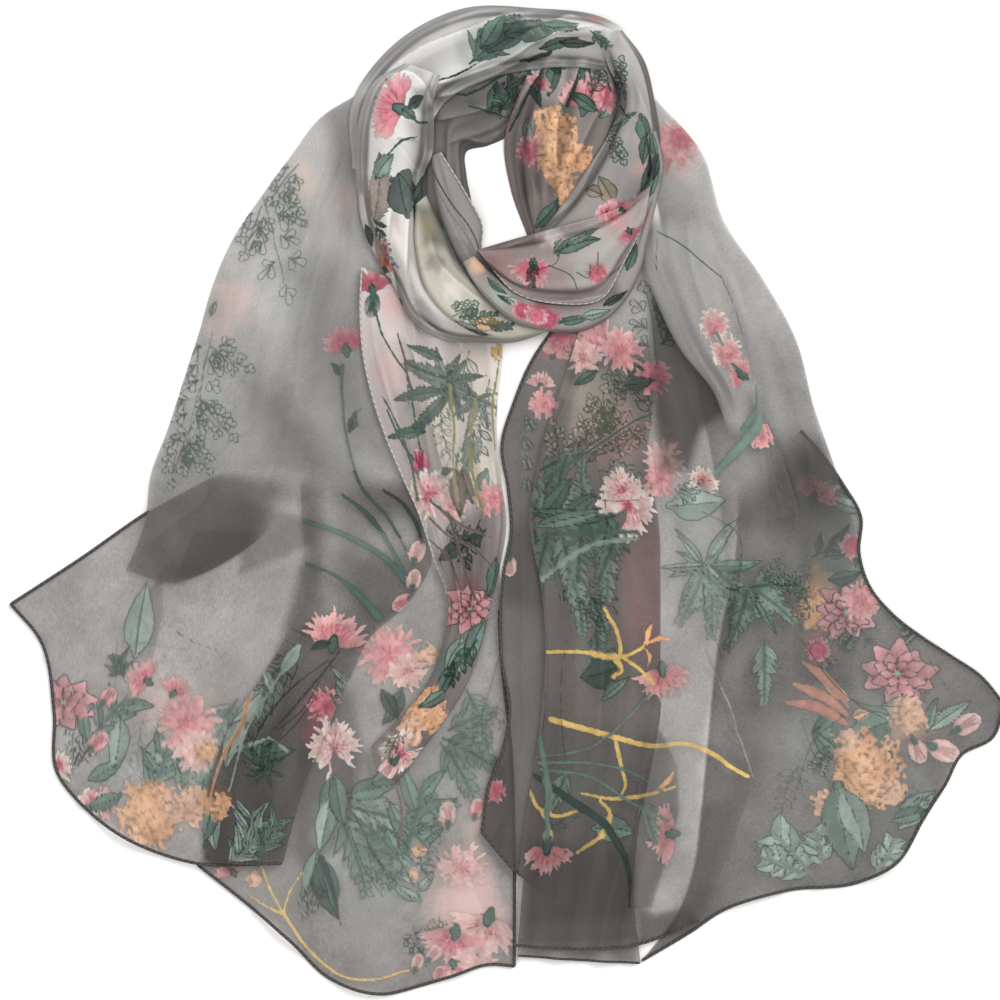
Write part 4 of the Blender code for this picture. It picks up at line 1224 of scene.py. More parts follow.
# %% The wide plain drape
left_outer = Cloth(
    "left_outer", "wall",
    sections=[(-93, 264, -83, 259), (-120, 247, -84, 232), (-140, 221, -80, 203), (-159, 195, -74, 174),
              (-177, 168, -71, 147), (-190, 138, -75, 121), (-199, 107, -80, 97), (-209, 76, -79, 72),
              (-219, 45, -73, 46), (-230, 15, -66, 20), (-234, -17, -58, -6), (-246, -47, -49, -31)],
    hem=[(-216, -55), (-190, -46), (-164, -30), (-140, -11), (-107, -11), (-75, -24)],
    folds=[(0.2, 0.16, 0.09, 4, 0.2, 0.95), (0.46, 0.4, 0.1, 6, 0.12, 0.9), (0.74, 0.7, 0.11, 5, 0.1)],
    creases=[(0.34, 0.28, 4, 2, 0.05, 0.85), (0.6, 0.55, 5, 2.4, 0, 0.95), (0.88, 0.86, 4, 1.8),
             (0.52, 0.62, 3, 1.4, 0.3), (0.12, 0.08, 4, 1.4, 0.3, 0.9), (0.68, 0.78, 3, -1.4, 0.1, 0.8)],
    pleats=[([(-104, 226), (-114, 194), (-133, 161), (-136, 135)], 16, 1.2, 0.14),
            ([(-144, -16), (-131, 8), (-119, 38), (-99, 64)], 18, 1.2, 0.12),
            ([(-233, -31), (-211, -14), (-195, -1), (-193, 13)], 14, 1.4, 0.16)], pitch=1.14)
outer_print = Print(left_outer, ((0.29, 0.28, 0.27), (0.085, 0.077, 0.071)), (0.53, 0.56))
paint_each(outer_print.wash, [
    (-175, 129, 18, BLUSH, 0.45), (-184, 109, 12, BLUSH, 0.3), (-131, 207, 14, PEACH, 0.35),
    (-101, 194, 14, BLUSH, 0.25), (-140, 129, 18, PALE_LEAF, 0.25), (-195, 64, 16, PALE_LEAF, 0.35)])
sow(outer_print, [
    (sketch, -133, 129, 40, 200, 0.45), (sketch, -122, 116, 34, 170, 0.4),
    (sketch, -138, 109, 30, 210, 0.4), (sketch, -114, 12, 34, 100, 0.3), (sketch, -166, 90, 30, 60, 0.35),
    (lobed, -134, 217, 30, 222), (lobed, -157, 196, 62, 166), (lobed, -158, 190, 34, 206),
    (lobed, -149, 200, 28, 140), (lobed, -190, 107, 46, 190), (lobed, -192, 99, 30, 120),
    (lobed, -198, 72, 44, 192), (lobed, -198, 64, 32, 138), (lobed, -205, 44, 34, 196),
    (lobed, -207, 38, 26, 140), (leaf, -191, 119, 10, 20, PALE_LEAF),
    (cornflower, -103, 95, 18, 350, ROSE), (leaf, -106, 79, 12, 320, DARK_LEAF),
    (leaf, -101, 43, 14, 20, DARK_LEAF)])
paint_each(outer_print.trail, [*BLADES, ([(-96, 47), (-98, 55), (-93, 58)], (0.7, 0.9, 0.4), GREEN)], 0.5)
draw_each(outer_print.pencil, [
    [(-158, 196), (-155, 207), (-138, 220)], [(-190, 107), (-184, 122), (-158, 135), (-146, 153)],
    [(-114, 51), (-125, 25), (-133, 5)], [(-145, 56), (-133, 18), (-136, -14)],
    [(-228, 14), (-216, 10), (-205, 3)]], 0.5)
paint_each(outer_print.veil_and_shade, [
    ([(-244, -42), (-232, -9), (-221, 18), (-195, 20), (-175, 5), (-155, -14), (-172, -35), (-195, -52),
     (-224, -55)], 0.92, 0.58, 14),
    ([(-231, -32), (-221, -6), (-195, 7), (-158, -5), (-101, -21), (-133, -35), (-182, -51), (-221, -51)],
     0.95, 0.58, 4),
    ([(-202, -21), (-101, -21), (-136, -36), (-158, -44), (-180, -51), (-214, -52)], 0.82, 0.66, 1.4),
    ([(-220, -3), (-231, -16), (-253, -48), (-227, -56), (-213, -32), (-213, -10)], 1.12, 0.4, 4),
    ([(-169, 77), (-140, 67), (-104, 18), (-72, -1), (-68, -27), (-114, -21), (-153, 44)], 0.8, 0.66, 14),
    ([(-140, 148), (-101, 161), (-96, 103), (-78, 25), (-107, 44), (-128, 96)], 0.8, 0.66, 16),
    ([(-117, 252), (-101, 259), (-98, 168), (-107, 181)], 0.7, 0.7, 8),
    ([(-177, 184), (-138, 177), (-141, 109), (-182, 109)], 1.04, 0.48, 18)])
inner_half = ease((outer_print.cloth.u - 0.36) / 0.16) * ease((outer_print.cloth.v - 0.88) / 0.12)
outer_print.sheer *= (1 - inner_half).ravel()
make_cloth(outer_print, open_chiffon)

# %% The narrow flowered stretch
left_inner = Cloth(
    "left_inner", "wall",
    sections=[(-93, 150, -3, 114), (-94, 121, -2, 88), (-92, 93, -5, 62), (-86, 66, -5, 35),
              (-77, 39, -2, 9), (-66, 13, 1, -17), (-55, -12, -3, -44), (-46, -39, -9, -69),
              (-37, -65, -15, -95), (-40, -93, -24, -120), (-50, -120, -38, -143), (-67, -141, -54, -164),
              (-87, -161, -70, -185)], hem=[(-84, -174)], crown=(0, 7),
    folds=[(0.22, 0.26, 0.12, 4, 0.05, 0.6), (0.55, 0.5, 0.14, 5, 0, 0.65),
           (0.86, 0.8, 0.1, 3.5, 0.05, 0.6)],
    creases=[(0.1, 0.2, 3, 1.6, 0, 0.8), (0.38, 0.42, 3.5, 2.2, 0, 0.9), (0.7, 0.66, 3, 2, 0, 0.9),
             (0.94, 0.88, 3, 1.6, 0.1, 0.7), (0.47, 0.6, 2.5, -1.4, 0.2)],
    pleats=[([(-40, -92), (-36, -60), (-49, -31), (-51, -8)], 12, 1.8, 0.28),
            ([(-3, -92), (-7, -53), (-3, -14), (-8, 31)], 14, 1.6, 0.25),
            ([(-67, 109), (-55, 82), (-47, 44), (-34, -1)], 12, 1.2, 0.16)], pitch=0.96, hems=("left",))
inner_print = Print(left_inner, (SHELL, (0.155, 0.135, 0.125)), (0.82, 0.76))
paint_each(inner_print.wash, [
    (-42, 51, 26, IVORY, 0.75), (-23, 83, 24, IVORY, 0.55), (-68, 129, 16, BLUSH, 0.55),
    (-75, 83, 16, BLUSH, 0.4), (-16, 18, 22, IVORY, 0.7), (-45, -5, 16, SHELL, 0.7),
    (-26, -18, 18, SHELL, 0.55), (-24, -66, 16, ROSE), (-36, -105, 14, LEAF, 0.7),
    (-52, -139, 14, PEACH, 0.8), (-70, -165, 14, SHELL, 0.9), (-23, 12, 12, YELLOW, 0.3)])
paint_each(inner_print.veil_and_shade, [
    ([(-34, -11), (-1, -1), (-1, -66), (-28, -70), (-42, -40)], 0.42, 0.84, 8),
    ([(-45, -66), (-1, -66), (-1, -105), (-68, -196), (-81, -183)], 0.62, 0.8, 8),
    ([(-71, 69), (-51, 57), (-44, 18), (-42, -14), (-53, -14), (-66, 31)], 0.62, 0.8, 5),
    ([(-90, 148), (-68, 135), (-63, 103), (-79, 103), (-88, 122)], 1.1, 0.86, 5),
    ([(-18, 122), (-1, 109), (-1, 51), (-7, 51), (-11, 96)], 1.25, 0.78, 2)])
sow(inner_print, [
    (cornflower, -86, 134, 16, 350, ROSE), (sketch, -23, 96, 46, 190, 0.9),
    (sketch, -10, 77, 50, 186, 0.9), (sketch, -42, 64, 40, 170, 0.8), (sketch, -29, 38, 44, 184, 0.8),
    (palmate, -37, 73, 33, 300), (palmate, -36, 74, 28, 120, GREEN), (fern, -38, 78, 30, 282),
    (leaf, -42, 69, 34, 262, GREEN, 0.13, 6, 0.5), (leaf, -40, 65, 34, 232, GREEN, 0.13, 6, 0.5),
    (leaf, -41, 90, 26, 292, GREEN, 0.12, 6, 0.5), (palmate, -18, 64, 26, 200),
    (leaf, -52, 43, 28, 262, GREEN, 0.13, 6, 0.5), (fern, -20, 44, 34, 186, LEAF),
    (leaf, -12, 18, 26, 196), (leaf, -28, 18, 24, 160, BROWN), (pompon, -4, 95, 6, 0, YELLOW),
    (bud, -55, 23, 10, 354, MAGENTA), (leaf, -45, 16, 14, 80, GREEN), (frill, -49, 2, 17, 320),
    (blossom, -34, -6, 11, 0, BLUSH), (leaf, -32, 18, 30, 176, BROWN), (blossom, -8, -1, 12),
    (leaf, -42, -40, 26, 60, DARK_LEAF), (sketch, -42, -21, 34, 100, 1), (sketch, -16, -14, 34, 200, 1),
    (leaf, -6, -40, 26, 196, GREEN), (dahlia, -23, -72, 19), (leaf, -28, -90, 30, 196, PALE_LEAF),
    (leaf, -20, -92, 34, 214, PALE_LEAF), (leaf, -14, -81, 30, 205), (leaf, -34, -108, 24, 206, GREEN),
    (sketch, -18, -92, 34, 214, 1), (pompon, -51, -139, 17), (pompon, -62, -152, 11, 0, PEACH),
    (frill, -67, -165, 14, 230), (bud, -76, -176, 9, 220, BLUSH), (leaf, -39, -125, 20, 240),
    (sketch, -68, -151, 22, 200, 0.8), (bud, -86, 125, 8, 190, GREEN)])
for places, dye in [
        ([(-84, 122), (-79, 105), (-71, 91), (-64, 82), (-59, 56), (-55, 31)], GREEN),
        ([(-70, 107), (-64, 83), (-63, 61)], BROWN), ([(-80, 66), (-70, 48), (-60, 18), (-57, -1)], GREEN),
        ([(-51, -12), (-36, -25), (-21, -32), (-5, -47)], BROWN),
        ([(-50, -1), (-31, -16), (-6, -27)], BROWN), ([(-38, -9), (-28, -40), (-19, -66)], BROWN),
        ([(-36, 73), (-33, 44), (-34, 18), (-31, -1)], OLIVE), ([(-5, 90), (-8, 64), (-6, 31)], OLIVE),
        ([(-19, 64), (-23, 31), (-14, -14)], OLIVE), ([(-49, -27), (-36, -40), (-28, -60)], BROWN),
        ([(-77, 57), (-67, 36), (-59, 25)], GREEN)]:
    inner_print.trail(places, (0.6, 0.8, 0.5), dye)
make_cloth(inner_print, open_chiffon)
make_hem(left_inner, [("left", 0, 0.66)], pale_thread, 0.6)

# %% [markdown]
# ## The right tail
# The right tail is six stretches. Its corner is spread out to the right under everything, a dark
# strip and a flowered under layer lie in the middle, and a wide front drape lies over them. A paler
# outer stretch comes down from the neck along its right side, and turns over at the top.

# %% The spread corner
right_corner = Cloth(
    "right_corner", "wall",
    sections=[(150, 12, 192, 44), (150, -20, 207, 27), (147, -51, 220, 8), (140, -82, 231, -12),
              (135, -114, 230, -36), (132, -145, 237, -58), (129, -176, 252, -76), (126, -208, 270, -90),
              (122, -239, 290, -103), (112, -269, 309, -116), (88, -301, 324, -134)],
    hem=[(120, -282), (141, -268), (182, -255), (231, -249), (255, -236), (272, -208), (285, -187),
         (296, -167), (317, -155)],
    folds=[(0.34, 0.28, 0.1, 4.5, 0.5), (0.62, 0.56, 0.08, 6, 0.55), (0.84, 0.8, 0.07, 5, 0.45)],
    creases=[(0.48, 0.42, 5, 1.6, 0.5), (0.74, 0.7, 4, 1.8, 0.4), (0.2, 0.14, 5, 1.3, 0.6)],
    pleats=[([(224, -120), (224, -92), (226, -60), (228, -21)], 14, 1.2, 0.2),
            ([(209, -196), (196, -170), (193, -144), (200, -116)], 12, 1, 0.14)], pitch=1.2,
    hems=("end", "right"))
corner_print = Print(right_corner, (DARK_GREY, (0.075, 0.068, 0.062)), (0.58, 0.68))
paint_each(corner_print.wash, [
    (260, -144, 18, PEACH, 0.45), (205, -66, 14, ORANGE, 0.45, 1.6), (221, -31, 26, LEAF, 0.35, 1.2),
    (244, -144, 22, LEAF, 0.4), (205, -157, 26, LEAF, 0.3, 1.4), (266, -196, 22, LEAF, 0.35),
    (205, -99, 12, ROSE, 0.45)])
sow(corner_print, [
    (sketch, 219, 12, 30, 120, 0.8), (sketch, 205, -40, 30, 60, 0.8), (sketch, 224, -66, 34, 150, 0.7),
    (sketch, 244, -131, 34, 80, 0.7), (sketch, 192, -170, 40, 200, 0.7), (sketch, 257, -183, 40, 150, 0.8),
    (sketch, 185, -216, 30, 230, 0.6), (leaf, 213, 13, 26, 120, GREEN),
    (leaf, 213, -1, 24, 106, PALE_LEAF), (twig, 200, -38, 32, 62, GREEN), (leaf, 211, -53, 22, 76, GREEN),
    (cornflower, 200, -1, 17, 20), (bud, 228, -35, 8), (blossom, 226, -31, 8, 0, ROSE),
    (pompon, 202, -74, 14), (fern, 205, -105, 22, 20, LEAF), (dahlia, 222, -74, 21),
    (blossom, 232, -66, 13), (lobed, 216, -100, 18, 40), (lobed, 213, -113, 14, 330),
    (blossom, 203, -99, 8, 0, MAGENTA), (twig, 248, -78, 20, 100), (lobed, 257, -92, 12, 60),
    (dahlia, 255, -114, 25), (leaf, 252, -144, 34, 250, LEAF, 0.3),
    (leaf, 247, -135, 30, 110, PALE_LEAF, 0.3), (leaf, 275, -150, 34, 56, PALE_LEAF, 0.16, 8, 0.5),
    (leaf, 274, -151, 24, 20, LEAF, 0.16), (pompon, 261, -142, 13, 0, PEACH),
    (bud, 300, -147, 10, 60, BLUSH), (bud, 285, -164, 11, 110, BLUSH), (bud, 268, -164, 9, 160, BLUSH),
    (leaf, 221, -139, 26, 240, GREEN, 0.3), (leaf, 214, -142, 26, 200, LEAF, 0.3),
    (leaf, 226, -142, 12, 70, PEACH, 0.3), (leaf, 224, -131, 22, 300, PEACH, 0.16),
    (leaf, 215, -170, 24, 320), (pompon, 235, -177, 27), (pompon, 223, -157, 9, 0, PEACH),
    (pompon, 209, -200, 11, 0, PEACH), (pompon, 252, -191, 10, 0, PEACH),
    (leaf, 216, -187, 56, 170, LEAF, 0.24, 8), (leaf, 219, -190, 44, 160, PALE_LEAF, 0.22, 8),
    (lobed, 200, -180, 18, 30), (twig, 200, -246, 38, 318, PALE_LEAF, 8, 0.34),
    (twig, 192, -243, 28, 290, PALE_LEAF, 6, 0.36), (twig, 206, -240, 26, 350, PALE_LEAF, 6, 0.34),
    (twig, 241, -243, 26, 30, PALE_LEAF, 6, 0.3), (leaf, 257, -214, 34, 44, PALE_LEAF, 0.24, 9),
    (leaf, 252, -209, 26, 80), (lobed, 266, -204, 18, 60)])
draw_each(corner_print.trail, [
    [(194, -107), (209, -118), (224, -135)], [(188, -121), (207, -129), (224, -140)],
    [(183, -133), (200, -135), (223, -146)]], (1.2, 3.4, 3, 0.8), (0.42, 0.2, 0.15), 0.1)
draw_each(corner_print.pencil, [
    [(276, -105), (285, -121), (289, -127)], [(192, -92), (218, -125), (250, -142)],
    [(222, -139), (200, -159), (189, -190)], [(221, -131), (237, -135), (257, -135)],
    [(192, -144), (202, -170), (214, -190)]])
corner_print.veil_and_shade([(196, 18), (226, -8), (225, -66), (224, -125), (188, -118), (192, -40)], 0.85, 0.64, 5)
corner_print.veil_and_shade([(224, -125), (214, -183), (192, -131), (198, -92)], 0.95, 0.6, 10)
soften(corner_print, start=26, left=3)
make_cloth(corner_print, open_chiffon)
make_hem(right_corner, [("right", 0, 1), ("end", 1, 0)], dark_thread)

# %% The dark strip along the gap
right_strip = Cloth(
    "right_strip", "wall",
    sections=[(33, 112, 59, 112), (17, 88, 50, 82), (6, 62, 42, 51), (-2, 34, 38, 20), (2, 6, 36, -11),
              (4, -22, 37, -43), (-1, -50, 43, -74), (-3, -79, 46, -105), (-2, -107, 46, -136),
              (3, -135, 45, -168), (-1, -162, 40, -199), (-11, -189, 37, -230), (-15, -217, 33, -261)],
    hem=[(7, -242)], folds=[(0.45, 0.4, 0.25, 2.5, 0.1)],
    creases=[(0.25, 0.3, 3, 1.2, 0.1), (0.7, 0.62, 3, 1.5, 0.2, 0.9)], pitch=1.1, hems=("left", "end"))
strip_print = Print(right_strip, ((0.105, 0.092, 0.082), DARK_GREY), (0.76, 0.74))
strip_print.wash(31, 99, 12, ROSE, 0.5)
sow(strip_print, [
    (cornflower, 23, 72, 10, 10, BLUSH), (blossom, 25, 61, 10), (lobed, 18, 42, 10, 340),
    (lobed, 16, 30, 9, 340), (lobed, 15, 17, 9, 350), (lobed, 14, 4, 8), (bud, 3, -44, 7, 180, BLUSH),
    (blossom, -6, -190, 8, 0, ROSE), (cornflower, 31, 92, 10, 20), (blossom, 37, 104, 11, 0, ROSE)])
strip_print.veil_and_shade([(10, -14), (46, -27), (46, -79), (-3, -66), (-3, -27)], 0.9, 0.74, 8)
make_cloth(strip_print, open_chiffon)
make_hem(right_strip, [("left", 0, 1), ("end", 0, 1)], dark_thread)

# %% The flowered under layer
right_under = Cloth(
    "right_under", "wall",
    sections=[(55, 105, 94, 105), (41, 67, 96, 64), (25, 29, 93, 24), (20, -12, 100, -17),
              (25, -52, 101, -58), (28, -93, 101, -99), (28, -134, 101, -140), (23, -175, 94, -180),
              (16, -215, 86, -220), (11, -256, 84, -261), (8, -297, 88, -302)], hem=[(49, -300)],
    folds=[(0.3, 0.34, 0.16, 3.5, 0.1), (0.72, 0.7, 0.16, 4, 0.15)], creases=[(0.5, 0.52, 4, 1.5, 0.1)],
    pitch=1.25)
under_print = Print(right_under, ((0.3, 0.26, 0.24), (0.045, 0.042, 0.042)), (0.72, 0.74))
under_print.wash(90, -60, 20, (0.26, 0.06, 0.085), 0.85, 3.4)
under_print.wash(68, 44, 26, BLUSH, 0.35)
under_print.veil_and_shade([(-3, -290), (107, -286), (107, -317), (-3, -317)], 3.2, 0.56, 0.8)
soften(under_print, start=12)
make_cloth(under_print, open_chiffon)
make_hem(right_under, [("end", 0, 1)], dark_thread, 0.8)

# %% The outer stretch
right_outer = Cloth(
    "right_outer", "wall",
    sections=[(88, 246, 98, 259), (97, 202, 128, 224), (106, 159, 142, 180), (116, 116, 167, 143),
              (125, 73, 189, 103), (134, 29, 201, 58), (141, -14, 216, 14), (144, -58, 229, -30),
              (143, -103, 224, -76), (138, -147, 223, -122), (132, -191, 213, -168),
              (127, -234, 196, -211), (120, -278, 176, -252)], hem=[(146, -263)],
    folds=[(0.3, 0.24, 0.13, 3.5, 0.1), (0.64, 0.66, 0.12, 5.5, 0.1)],
    creases=[(0.46, 0.4, 4, 1.8, 0.1), (0.84, 0.8, 4, 1.8, 0.2, 0.9), (0.18, 0.12, 3.5, 1.3, 0.3)],
    pleats=[([(164, 64), (161, 96), (154, 129), (145, 156)], 14, 1.4, 0.18),
            ([(172, -1), (168, 38), (164, 64)], 12, 1, 0.12)], pitch=1.2)
outer_tail = Print(right_outer, ((0.26, 0.25, 0.24), (0.1, 0.09, 0.085)), (0.5, 0.55))
outer_tail.wash(112, 220, 18, BLUSH, 0.4)
outer_tail.wash(138, 116, 12, BLUSH, 0.35, 1.8)
sow(outer_tail, [(blossom, 110, 229, 17), (blossom, 114, 234, 10, 0, ROSE)])
paint_each(outer_tail.veil_and_shade, [
    ([(169, 99), (192, 99), (211, 44), (224, -14), (166, -14), (169, 44)], 0.52, 0.62, 24),
    # A painted shadow on the outer stretch, beside the loop.
    ([(94, 226), (116, 220), (128, 184), (120, 161), (94, 161)], 0.72, 0.6, 12),
    ([(172, 38), (214, 38), (224, -27), (211, -40), (176, -21)], 0.7, 0.74, 12)])
outer_tail.sheer *= 1 - ease((outer_tail.cloth.v + 0 * outer_tail.cloth.u - 0.44) / 0.20).ravel()
make_cloth(outer_tail, open_chiffon)

# %% The front drape
right_front = Cloth(
    "right_front", "wall",
    sections=[(62, 154, 112, 162), (37, 73, 145, 87), (23, 29, 171, 46), (16, -16, 188, 1),
              (24, -61, 197, -46), (26, -107, 196, -94), (22, -153, 179, -139), (15, -198, 161, -184),
              (9, -244, 145, -230), (6, -290, 127, -274)], hem=[(36, -292), (88, -289)],
    folds=[(0.12, 0.12, 0.08, 3.5, 0.1), (0.36, 0.34, 0.09, 5, 0.05), (0.62, 0.58, 0.09, 6, 0.1),
           (0.84, 0.86, 0.08, 4.5, 0.25)],
    creases=[(0.24, 0.22, 4, 1.8, 0, 0.95), (0.48, 0.46, 4.5, 2.4, 0.05), (0.72, 0.7, 4, 2, 0.1),
             (0.93, 0.92, 3.5, 1.6, 0.3), (0.55, 0.5, 3, -1.4, 0.2, 0.9), (0.3, 0.33, 3, -1.2, 0.3)],
    pleats=[([(100, -261), (100, -131), (101, -14), (93, 64), (97, 109)], 10, 1.2, 0.16),
            ([(135, 70), (127, 51), (120, 18), (127, -9), (150, -20), (151, -66), (135, -144),
             (120, -196)], 12, 1, 0.14),
            ([(16, -92), (14, -40), (16, 12), (27, 51), (44, 96)], 12, 1.2, 0.16),
            ([(68, -261), (62, -183), (64, -118), (70, -66)], 16, 1.2, 0.12)], pitch=1.12, hems=("end",))
front_print = Print(right_front, (MID_GREY, GREY), (0.54, 0.48))
paint_each(front_print.wash, [
    (68, 44, 24, BLUSH, 0.45), (55, 64, 22, IVORY, 0.45), (46, -27, 34, LEAF, 0.55),
    (103, 21, 14, BLUSH, 0.55, 1.6), (120, -5, 18, PALE_LEAF, 0.5), (129, -50, 26, PALE_LEAF, 0.4, 1.4),
    (162, -60, 24, LEAF, 0.45, 1.2), (62, -105, 16, LEAF, 0.35), (49, -190, 24, LEAF, 0.3)])
sow(front_print, [
    (sketch, 94, 51, 40, 350, 0.9), (sketch, 88, 38, 44, 300, 0.8), (sketch, 42, 18, 44, 40, 0.9),
    (sketch, 36, 25, 40, 70, 0.8), (sketch, 62, 38, 40, 20, 0.8), (sketch, 75, 25, 36, 340, 0.8),
    (sketch, 36, -40, 44, 150, 0.9), (sketch, 62, -40, 44, 170, 0.9), (lobed, 98, 90, 46, 352, GREEN),
    (lobed, 91, 64, 30, 340, GREEN), (lobed, 88, 67, 34, 310, LEAF), (lobed, 52, 38, 34, 24, IVORY),
    (lobed, 42, 28, 34, 50, IVORY), (lobed, 36, 18, 30, 350, IVORY), (lobed, 68, 31, 30, 60, BLUSH),
    (lobed, 62, 18, 26, 100), (cornflower, 64, 91, 25, 352), (blossom, 76, 96, 15),
    (blossom, 51, 91, 12, 0, BLUSH), (blossom, 96, 78, 13, 0, ROSE), (leaf, 59, 82, 18, 240, GREEN),
    (leaf, 78, 73, 22, 80, DARK_LEAF), (fern, 18, -14, 44, 20), (fern, 20, -12, 42, 52, LEAF),
    (fern, 23, 18, 30, 60), (fern, 33, -8, 36, 4), (fern, 52, -9, 34, 350, LEAF),
    (twig, 18, -12, 60, 88, GREEN), (leaf, 19, -9, 56, 92, GREEN, 0.09, 9),
    (leaf, 20, -18, 52, 78, LEAF, 0.09, 9), (fern, 19, -21, 44, 168), (fern, 27, -21, 48, 184),
    (fern, 36, -21, 46, 160, LEAF), (fern, 49, -18, 50, 176), (fern, 64, -16, 50, 168, LEAF),
    (fern, 73, -17, 40, 190), (fern, 44, -53, 36, 162, LEAF), (fern, 54, -60, 34, 150),
    (fern, 59, -86, 30, 172), (lobed, 52, -60, 26, 160), (leaf, 70, -99, 24, 200, GREEN, 0.3),
    (frill, 80, -6, 22, 50), (frill, 76, 5, 15, 350, BLUSH), (blossom, 103, 23, 15, 0, BLUSH),
    (blossom, 101, 13, 13), (frill, 128, 10, 12, 350), (frill, 125, 0, 10, 200, BLUSH),
    (leaf, 107, -5, 40, 84, PALE_LEAF, 0.26), (lobed, 111, -1, 20, 60),
    (palmate, 129, -44, 40, 170, PALE_LEAF), (fern, 131, -46, 44, 168, LEAF),
    (fern, 129, -48, 38, 200, PALE_LEAF), (fern, 137, -47, 40, 130, LEAF),
    (leaf, 128, -42, 30, 318, PALE_LEAF, 0.1), (leaf, 131, -40, 36, 40, PALE_LEAF, 0.1),
    (leaf, 128, -44, 30, 268, PALE_LEAF, 0.1), (leaf, 133, -44, 38, 84, LEAF, 0.1),
    (palmate, 161, -60, 34, 150, GREEN), (fern, 159, -58, 36, 80), (fern, 157, -60, 40, 190),
    (fern, 163, -60, 34, 120, LEAF), (lobed, 182, -66, 26, 40), (lobed, 185, -70, 24, 90),
    (lobed, 172, -60, 22, 20), (fern, 168, -92, 42, 178, LEAF, 11, 0.02), (cornflower, 102, -110, 21, 172),
    (leaf, 72, -110, 26, 256, DARK_LEAF, 0.42, 7), (leaf, 58, -214, 30, 96, LEAF, 0.3, 7),
    (cornflower, 27, -226, 18, 180), (bud, 28, -220, 6, 0, DARK_LEAF), (cornflower, 110, -218, 21, 268),
    (leaf, 63, -131, 26, 52, LEAF, 0.12, 5), (cornflower, 164, 46, 13, 150), (blossom, 167, 40, 9),
    (sketch, 23, -216, 30, 60, 0.7), (sketch, 94, -170, 40, 200, 0.6), (fern, 40, -177, 34, 200, LEAF),
    (fern, 88, -196, 30, 150, LEAF)])
paint_each(front_print.trail, [
    ([(25, -100), (49, -100), (70, -103), (85, -100), (91, -96), (94, -88)], (1.2, 1.4, 1), YELLOW),
    ([(64, -72), (73, -88), (75, -100), (73, -106)], (1.1, 1.5), YELLOW),
    ([(73, -105), (76, -112), (70, -116)], (1.5, 0.9), YELLOW),
    ([(75, -103), (86, -110), (97, -120)], (1.4, 1), YELLOW),
    ([(92, -95), (93, -87), (96, -81)], (0.9, 2.4, 0.5), ORANGE),
    ([(93, -94), (101, -91), (108, -92)], (0.6, 2, 0.4), ORANGE),
    ([(91, -98), (94, -103), (93, -109)], (0.7, 1.6, 0.5), ORANGE),
    ([(25, -144), (68, -155), (101, -161), (115, -159), (164, -180)], (2.1, 1.9, 1.7, 1.7, 1.3), YELLOW),
    ([(15, -189), (20, -200), (33, -206), (50, -202)], (1.1, 1.5, 1), YELLOW),
    ([(24, -204), (28, -211), (29, -217)], (1, 0.9), YELLOW),
    ([(47, -192), (68, -195), (91, -193), (114, -187)], (1, 1.4, 1), YELLOW),
    ([(98, -190), (106, -183), (110, -176)], (1, 1.8, 0.5), ORANGE),
    ([(72, -158), (76, -176), (79, -187), (75, -194)], (1.4, 1.6, 1.2), YELLOW),
    ([(62, -196), (69, -204), (66, -214), (46, -230)], (1.2, 1.6, 1.2), YELLOW),
    ([(18, -180), (42, -196), (67, -213), (84, -242), (85, -265)], (1.6, 2.8, 2.4, 0.6), DARK_LEAF),
    ([(20, -172), (55, -172), (81, -177), (106, -190)], (1.1, 0.8), LEAF),
    ([(21, -176), (55, -181), (81, -196), (111, -209)], (1, 0.8), LEAF),
    ([(20, -168), (55, -162), (88, -135), (96, -127)], (0.8, 0.8), LEAF),
    ([(23, -155), (27, -177), (27, -220)], (1.6, 2.4, 1), LEAF),
    ([(168, 64), (164, 47), (150, 30), (137, 16)], (1.2, 3.2, 3.4, 2), LEAF),
    ([(131, 103), (137, 90), (153, 73)], (0.8, 0.8), LEAF),
    ([(23, 12), (55, 31), (88, 51), (98, 55)], (0.8, 1, 0.8), GREEN),
    ([(23, -24), (62, -22), (88, -22)], (1, 1.6, 0.8), GREEN),
    ([(23, -53), (55, -31), (88, -26)], (1, 0.8), PALE_LEAF),
    ([(129, -99), (144, -131), (164, -180)], (0.8, 0.8), (0.27, 0.235, 0.2))], 0.3)
draw_each(front_print.pencil, [
    [(164, 69), (169, 44), (177, 12), (188, -21)], [(129, -44), (120, -32), (110, -25)],
    [(129, -43), (142, -31), (148, -21)], [(129, -44), (129, -66), (142, -105)],
    [(127, -9), (150, -21), (151, -66)], [(20, -92), (26, -131), (23, -170)],
    [(40, -92), (36, -131), (41, -170)], [(62, 18), (66, -14), (62, -40)],
    [(33, -1), (31, -40), (37, -73)], [(40, 12), (62, -1), (88, -1)]])
